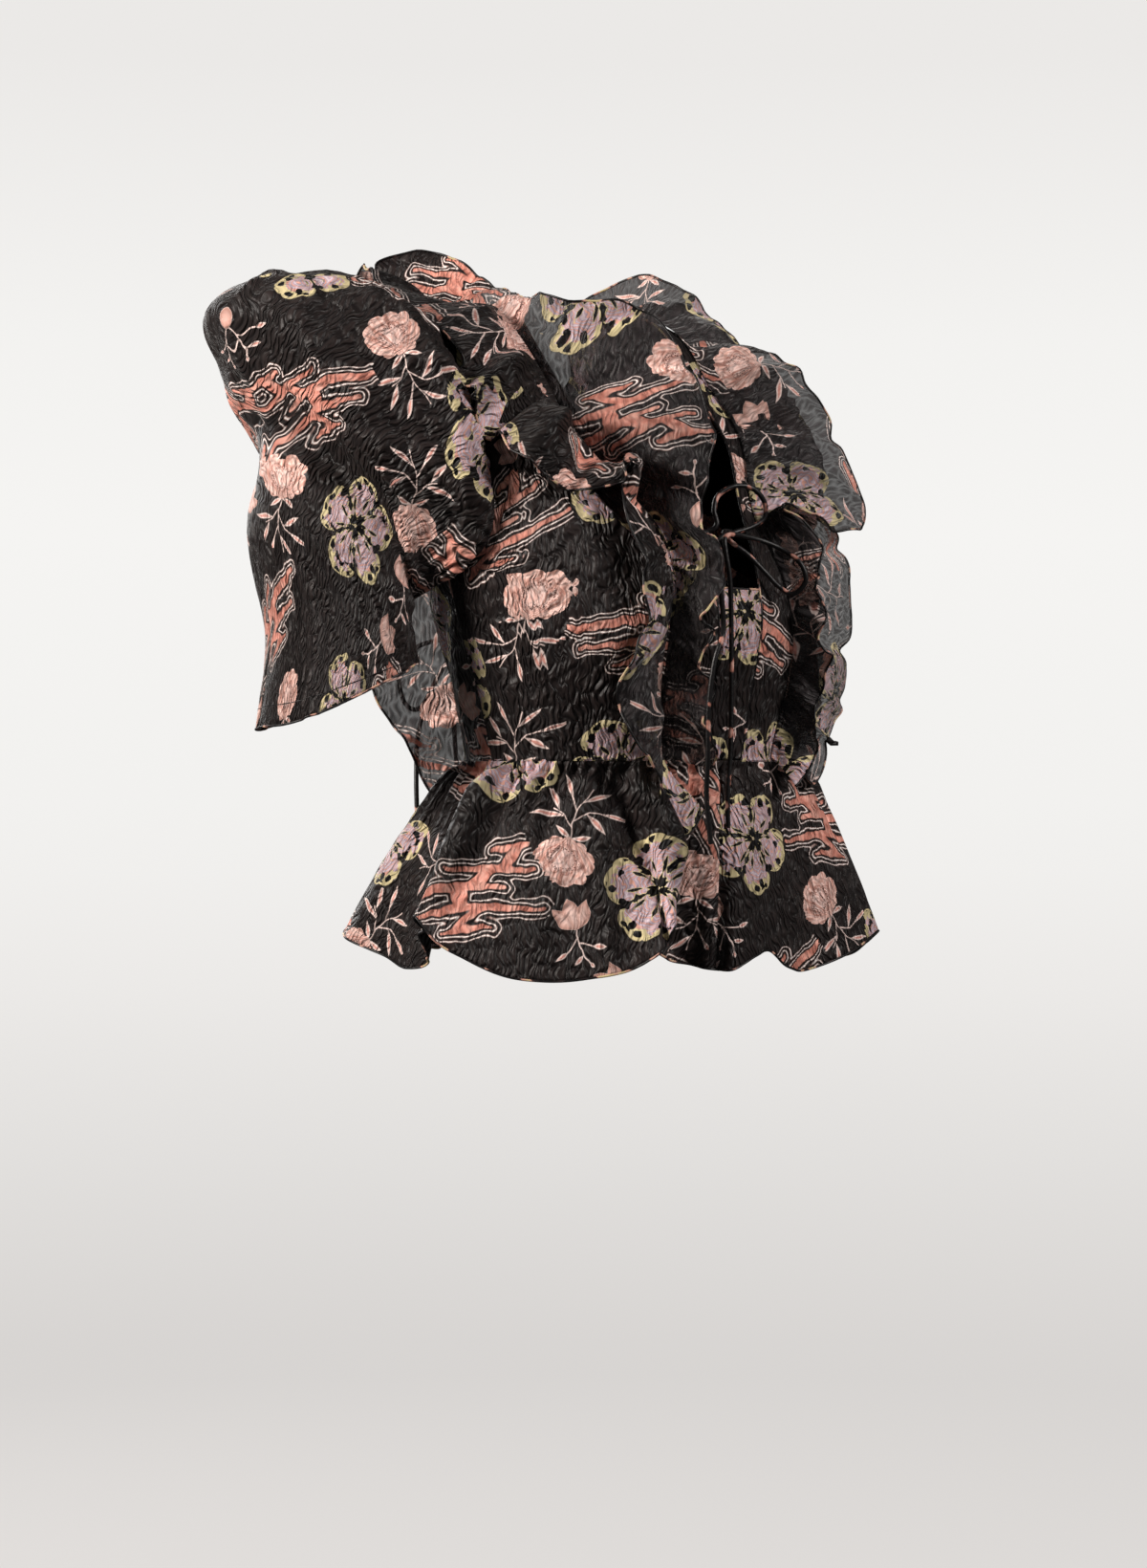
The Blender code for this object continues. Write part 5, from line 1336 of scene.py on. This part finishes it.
def lit_cove(name):
    """A studio cove whose wall glows as painted light, darker towards the floor and the top; its floor is
    mostly that glow over flat white paint.
    """
    material, tree, shader = new_material(name)
    tree.nodes.remove(shader)
    height = add(tree, "SeparateXYZ", add(tree, "NewGeometry").outputs["Position"]).outputs[2]
    paint = add(tree, "BsdfDiffuse", {"Color": linear("#f1efec")})
    glow = add(tree, "ValToRGB", add(tree, "MapRange", height, COVE_LOW, COVE_HIGH))
    set_ramp(glow, COVE_GLOW)
    # Painted light: the wall glows though it is no lamp, graded by height.
    cloth = add(tree, "Emission", {"Color": glow, "Strength": 1.0})
    floor = bpy.context.scene.blouse_stage.floor
    share = add(tree, "MapRange", height, floor + 0.01, floor + 0.9, 0.85, 1.0)
    both = add(tree, "MixShader", share, paint, cloth)
    tree.links.new(both.outputs[0], tree.nodes["Material Output"].inputs["Surface"])
    return material


# ---------------------------------------------------------------- trims and ties


def tube(name, route, radius, material, closed=False):
    """A round sewn tube or rolled edge along the route."""
    curve = bpy.data.curves.new(name, "CURVE")
    curve.dimensions = "3D"
    curve.bevel_depth = radius * MM
    curve.bevel_resolution = 2
    curve.use_fill_caps = True
    line = curve.splines.new("POLY")
    line.use_cyclic_u = closed
    line.points.add(len(route) - 1)
    for point, place in zip(line.points, route):
        point.co = (*(place * MM), 1.0)
    curve.materials.append(bpy.data.materials[material])
    piece = placed(name, curve)
    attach(piece, "root")
    return piece


def rolled_edge(name, route, closed=False):
    """The narrow rolled hem that closes a free edge of the cloth."""
    piece = tube(name, route, HEM_RADIUS, "bound_edge", closed)


def add_tie(node, table):
    """One rouleau tie along its route from the opening to its free end."""
    keys = np.linspace(0, 1, len(table))
    rows = [(key, *place) for key, place in zip(keys, table)]
    route = smooth(rows, np.linspace(0, 1, 6 * len(table)))
    piece = tube(node + "_cord", route, TIE_RADIUS, "tie_organza")
    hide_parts(node)


# ---------------------------------------------------------------- settings


def hex_colour(name, description, default):
    """A setting that holds an sRGB hex value."""
    return bpy.props.StringProperty(name=name, description=description, default=default)


class BlouseCloth(bpy.types.PropertyGroup):
    thickness: bpy.props.FloatProperty(
        name="Thickness",
        description="Thickness of the organza, its creases not counted",
        default=0.00035,
        unit="LENGTH",
        precision=5,
    )
    crease_spacing: bpy.props.FloatProperty(
        name="Crease spacing",
        description="From one large crease of the crinkle to the next",
        default=0.009,
        unit="LENGTH",
        precision=4,
    )
    crease_length: bpy.props.FloatProperty(
        name="Crease length",
        description="How far a large crease runs along the cloth",
        default=0.026,
        unit="LENGTH",
        precision=4,
    )
    crease_height: bpy.props.FloatProperty(
        name="Crease height",
        description="Height of the large creases",
        default=0.0011,
        unit="LENGTH",
        precision=4,
    )


class BlousePrint(bpy.types.PropertyGroup):
    lined_low: hex_colour("Lined ground", "Black of the lined cloth", "#070506")
    # Painted highlight: each crease-top colour is mixed in on the top of a crease.
    lined_crease_highlight: hex_colour("Lined crease tops", "Its black on the creases", "#251e1d")
    # The sheer colours are lighter than the lined ones: painted light for what shines through a single
    # layer.
    sheer_low: hex_colour("Sheer ground", "Black of the single cloth", "#100d0e")
    sheer_crease_highlight: hex_colour("Sheer crease tops", "Its black on the creases", "#353031")
    stem: hex_colour("Stem", "Pale pink of stems and leaf edges", "#e6cfc8")
    coral: hex_colour("Coral", "Coral of leaves and streams", "#d3968a")
    border: hex_colour("Border", "Pale yellow round the blossoms", "#c6b88e")
    line_white: hex_colour("White lines", "Warm white of the lines round the streams", "#efe9e5")
    line_dark: hex_colour("Fine lines", "Brown of the fine dots on the carnations", "#6d4a42")
    cover_sheer: bpy.props.FloatProperty(
        name="Cover of single cloth",
        description="Share of light that one face of a ruffle stops",
        default=0.72,
        min=0.0,
        max=1.0,
        subtype="FACTOR",
    )
    cover_print: bpy.props.FloatProperty(
        name="Cover of print",
        description="Share of light that one face of the printed organza stops",
        default=0.88,
        min=0.0,
        max=1.0,
        subtype="FACTOR",
    )


class BlouseStage(bpy.types.PropertyGroup):
    target: bpy.props.FloatVectorProperty(
        name="Camera target",
        description="The point that the camera looks at",
        default=(0.0028, -0.0023, -0.36),
        subtype="TRANSLATION",
    )
    azimuth: bpy.props.FloatProperty(
        name="Azimuth",
        description="Turn of the camera from straight in front, below 0 to the wearer's right",
        default=math.radians(-40),
        subtype="ANGLE",
    )
    distance: bpy.props.FloatProperty(
        name="Distance",
        description="From the camera to its target",
        default=2.826,
        unit="LENGTH",
    )
    floor: bpy.props.FloatProperty(
        name="Floor level",
        description="Height of the studio floor below the shoulders",
        default=-1.45,
        unit="LENGTH",
    )


# ---------------------------------------------------------------- operators


class BLOUSE_OT_materials(bpy.types.Operator):
    """Mix the cloths and the thread"""

    bl_idname = "blouse.materials"
    bl_label = "Materials"

    def execute(self, context):
        settings = context.scene.blouse_print
        draws = [None, draw_carnation, draw_blossom, draw_stream, draw_sprig]
        for motif, draw in zip(MOTIFS, draws):
            ground = (settings.sheer_low, settings.sheer_crease_highlight)
            crinkled_organza("sheer_organza_" + motif, True, ground, draw)
            ground = (settings.lined_low, settings.lined_crease_highlight)
            crinkled_organza("lined_organza_" + motif, False, ground, draw)
        rouleau_satin("tie_organza", TIE_COLOURS)
        rouleau_satin("bound_edge", HEM_COLOURS)
        rouleau_satin("spun_thread", THREAD_COLOURS)
        lit_cove("lit_cove")
        return {"FINISHED"}


class BLOUSE_OT_bodice(bpy.types.Operator):
    """Make the front, side front and back panels and the insert"""

    bl_idname = "blouse.bodice"
    bl_label = "Bodice"

    def execute(self, context):
        for side, name in SIDES:
            flip = side < 0
            front = panel(side, False, at_opening, princess, PANEL_ROWS, FRONT_COLUMNS).swapaxes(0, 1)
            lay_cloth("front_" + name, front, turned=flip)
            beside = panel(side, False, princess, at_side, PANEL_ROWS, SIDE_COLUMNS).swapaxes(0, 1)
            lay_cloth("front_side_" + name, beside, turned=flip)
            back = panel(side, True, at_opening, at_side, PANEL_ROWS, BACK_COLUMNS).swapaxes(0, 1)
            lay_cloth("back_" + name, back, turned=not flip)
        angle = np.linspace(-INSERT_HALF, INSERT_HALF, INSERT_GRID[0])[:, None]
        level = np.linspace(INSERT_TOP, WAIST, INSERT_GRID[1])
        insert, _ = torso(angle, level)
        lay_cloth("front_insert", insert, turned=True)
        return {"FINISHED"}


class BLOUSE_OT_sleeves(bpy.types.Operator):
    """Make the two puffed sleeves and their hems"""

    bl_idname = "blouse.sleeves"
    bl_label = "Sleeves"

    def execute(self, context):
        body = torso_cloud()
        for side, name in SIDES:
            grid = kept_off(sleeve_grid(side, SLEEVE_RINGS[name], *SLEEVE_GRID), body, LAYER)
            laid = lay_cloth("sleeve_" + name, grid, closed=True, turned=side < 0)
            rolled_edge("sleeve_hem_" + name, laid[:, -1], closed=True)
            route = laid[:, HEM_ROW]
            stitches = tube("sleeve_stitches_" + name, route, STITCH_RADIUS, "spun_thread", closed=True)
        return {"FINISHED"}


class BLOUSE_OT_peplum(bpy.types.Operator):
    """Make the four fluted pieces of the peplum and their hems"""

    bl_idname = "blouse.peplum"
    bl_label = "Peplum"

    def execute(self, context):
        for side, name in SIDES:
            for place, first, last in (("front", PEPLUM_FRONT[name], 90), ("back", 90, PEPLUM_BACK_END)):
                node = f"peplum_{place}_{name}"
                grid = peplum_grid(side, PEPLUM_HEMS[name], first, last, *PEPLUM_GRID)
                laid = lay_cloth(node, grid, turned=side < 0)
                rolled_edge(f"peplum_hem_{place}_{name}", laid[:, -1])
        return {"FINISHED"}


class BLOUSE_OT_ruffles(bpy.types.Operator):
    """Make the double ruffles on both sides and their bound edges"""

    bl_idname = "blouse.ruffles"
    bl_label = "Ruffles"

    def execute(self, context):
        body = torso_cloud()
        for side, name in SIDES:
            (below_name, below_table), (above_name, above_table) = RUFFLES[name]
            rough = sleeve_grid(side, SLEEVE_RINGS[name], *ROUGH_SLEEVE_GRID)
            out = grid_normals(rough, closed=True) * side
            sleeve = (rough.reshape(-1, 3), out.reshape(-1, 3))
            low = ruffle_grid(side, below_table, RUFFLE_SHIFT, RUFFLE_STATIONS, RUFFLE_ACROSS)
            clear = np.clip(np.linspace(0.2, 6.0, RUFFLE_ACROSS), 0, 1)
            low = kept_off(kept_off(low, body, LAYER * clear), sleeve, LAYER * clear)
            low = softened(low, RUFFLE_SOFTENING)
            laid = lay_cloth(below_name, low, turned=side < 0)
            rolled_edge(below_name + "_hem", laid[:, -1])
            high = ruffle_grid(side, above_table, -RUFFLE_SHIFT, RUFFLE_STATIONS, RUFFLE_ACROSS)
            high = kept_off(high, body, LAYER * clear)
            along = np.linspace(0, 2, RUFFLE_STATIONS)[:, None]
            lift = np.interp(along, *INNER_LIFT) if side < 0 else 2 * LAYER
            normals = grid_normals(low) * -side
            lower = (low[::2, ::2].reshape(-1, 3), normals[::2, ::2].reshape(-1, 3))
            high = softened(kept_off(high, lower, lift * clear), RUFFLE_SOFTENING)
            laid = lay_cloth(above_name, high)
            rolled_edge(above_name + "_hem", laid[:, -1])
        return {"FINISHED"}


class BLOUSE_OT_ties(bpy.types.Operator):
    """Make the four rouleau ties of the front and back bows"""

    bl_idname = "blouse.ties"
    bl_label = "Ties"

    def execute(self, context):
        for node, route in TIES.items():
            add_tie(node, route)
        return {"FINISHED"}


class BLOUSE_OT_bindings(bpy.types.Operator):
    """Bind the edges of the front and back openings and of the insert"""

    bl_idname = "blouse.bindings"
    bl_label = "Bindings"

    def execute(self, context):
        for side, name in SIDES:
            for behind, place in ((False, "front"), (True, "back")):
                edge = panel(side, behind, at_opening, at_side, EDGE_POINTS, 2)[:, 0]
                rolled_edge(f"{place}_edge_{name}", edge)
        top, _ = torso(np.linspace(-INSERT_HALF, INSERT_HALF, INSERT_EDGE_POINTS), INSERT_TOP)
        rolled_edge("insert_edge", top)
        return {"FINISHED"}


class BLOUSE_OT_stage(bpy.types.Operator):
    """Set up the pale studio cove, the soft lights and the camera"""

    bl_idname = "blouse.stage"
    bl_label = "Stage"

    def execute(self, context):
        stage = context.scene.blouse_stage
        scene = context.scene
        turns = np.linspace(0, 2 * math.pi, COVE_SIDES + 1)[:-1]
        profile = [(0.02, 0.0), (COVE_FLOOR, 0.0)]
        for a in np.radians(np.linspace(10, 90, 9)):
            profile.append((COVE_FLOOR + COVE_BEND * math.sin(a), COVE_BEND * (1 - math.cos(a))))
        profile.append((COVE_FLOOR + COVE_BEND, COVE_TOP))
        places = []
        for radius, rise in profile:
            places += [(radius * math.cos(t), radius * math.sin(t), stage.floor + rise) for t in turns]
        faces = [list(range(COVE_SIDES))]
        for start in range(0, (len(profile) - 1) * COVE_SIDES, COVE_SIDES):
            for j in range(COVE_SIDES):
                near, far = start + j, start + (j + 1) % COVE_SIDES
                faces.append([near, far, far + COVE_SIDES, near + COVE_SIDES])
        mesh = bpy.data.meshes.new("studio_cove")
        mesh.from_pydata(places, [], faces)
        mesh.materials.append(bpy.data.materials["lit_cove"])
        mesh.shade_smooth()
        cove = placed("studio_cove", mesh)
        cove.visible_diffuse = False
        cove.visible_glossy = False
        for name, place, size, power, colour in LIGHTS:
            light = bpy.data.lights.new(name, "AREA")
            light.shape = "DISK"
            light.size = size
            light.energy = power
            light.color = linear(colour)[:3]
            lamp = placed(name, light)
            lamp.location = place
            ahead = Vector(LIT_POINT) - Vector(place)
            lamp.rotation_euler = ahead.to_track_quat("-Z", "Y").to_euler()
            lamp.visible_camera = False
        world = bpy.data.worlds.new("soft_daylight")
        world.use_nodes = True
        sky = world.node_tree.nodes["Background"]
        sky.inputs[0].default_value = linear("#fbf9f7")
        sky.inputs[1].default_value = WORLD_STRENGTH
        scene.world = world
        scene.view_settings.view_transform = "Standard"
        away = Vector((math.sin(stage.azimuth), -math.cos(stage.azimuth), 0))
        camera = bpy.data.cameras.new("camera")
        camera.lens = LENS
        camera.sensor_width = SENSOR
        camera.sensor_height = SENSOR
        camera.sensor_fit = "VERTICAL"
        holder = placed("camera", camera)
        holder.location = Vector(stage.target) + away * stage.distance
        holder.rotation_euler = (-away).to_track_quat("-Z", "Y").to_euler()
        scene.camera = holder
        return {"FINISHED"}


class BLOUSE_PT_panel(bpy.types.Panel):
    """Sizes, colours and steps of the blouse"""

    bl_idname = "BLOUSE_PT_panel"
    bl_label = "Ruffled organza blouse"
    bl_space_type = "VIEW_3D"
    bl_region_type = "UI"
    bl_category = "Blouse"

    def draw(self, context):
        layout = self.layout
        scene = context.scene
        for group in (scene.blouse_cloth, scene.blouse_print, scene.blouse_stage):
            box = layout.box()
            for name in group.__annotations__:
                box.prop(group, name)
        for operator in STEPS:
            layout.operator(operator.bl_idname)


SETTINGS = {"blouse_cloth": BlouseCloth, "blouse_print": BlousePrint, "blouse_stage": BlouseStage}
STEPS = (
    BLOUSE_OT_materials,
    BLOUSE_OT_stage,
    BLOUSE_OT_ties,
    BLOUSE_OT_bodice,
    BLOUSE_OT_sleeves,
    BLOUSE_OT_peplum,
    BLOUSE_OT_ruffles,
    BLOUSE_OT_bindings,
)


def register():
    for group in SETTINGS.values():
        bpy.utils.register_class(group)
    for operator in STEPS:
        bpy.utils.register_class(operator)
    bpy.utils.register_class(BLOUSE_PT_panel)
    for name, group in SETTINGS.items():
        setattr(bpy.types.Scene, name, bpy.props.PointerProperty(type=group))


def unregister():
    for name in SETTINGS:
        delattr(bpy.types.Scene, name)
    bpy.utils.unregister_class(BLOUSE_PT_panel)
    for operator in reversed(STEPS):
        bpy.utils.unregister_class(operator)
    for group in reversed(SETTINGS.values()):
        bpy.utils.unregister_class(group)


def main():
    register()
    bpy.ops.blouse.materials()
    bpy.ops.blouse.stage()
    bpy.ops.blouse.ties()
    bpy.ops.blouse.bodice()
    bpy.ops.blouse.sleeves()
    bpy.ops.blouse.peplum()
    bpy.ops.blouse.ruffles()
    bpy.ops.blouse.bindings()


if __name__ == "__main__":
    main()
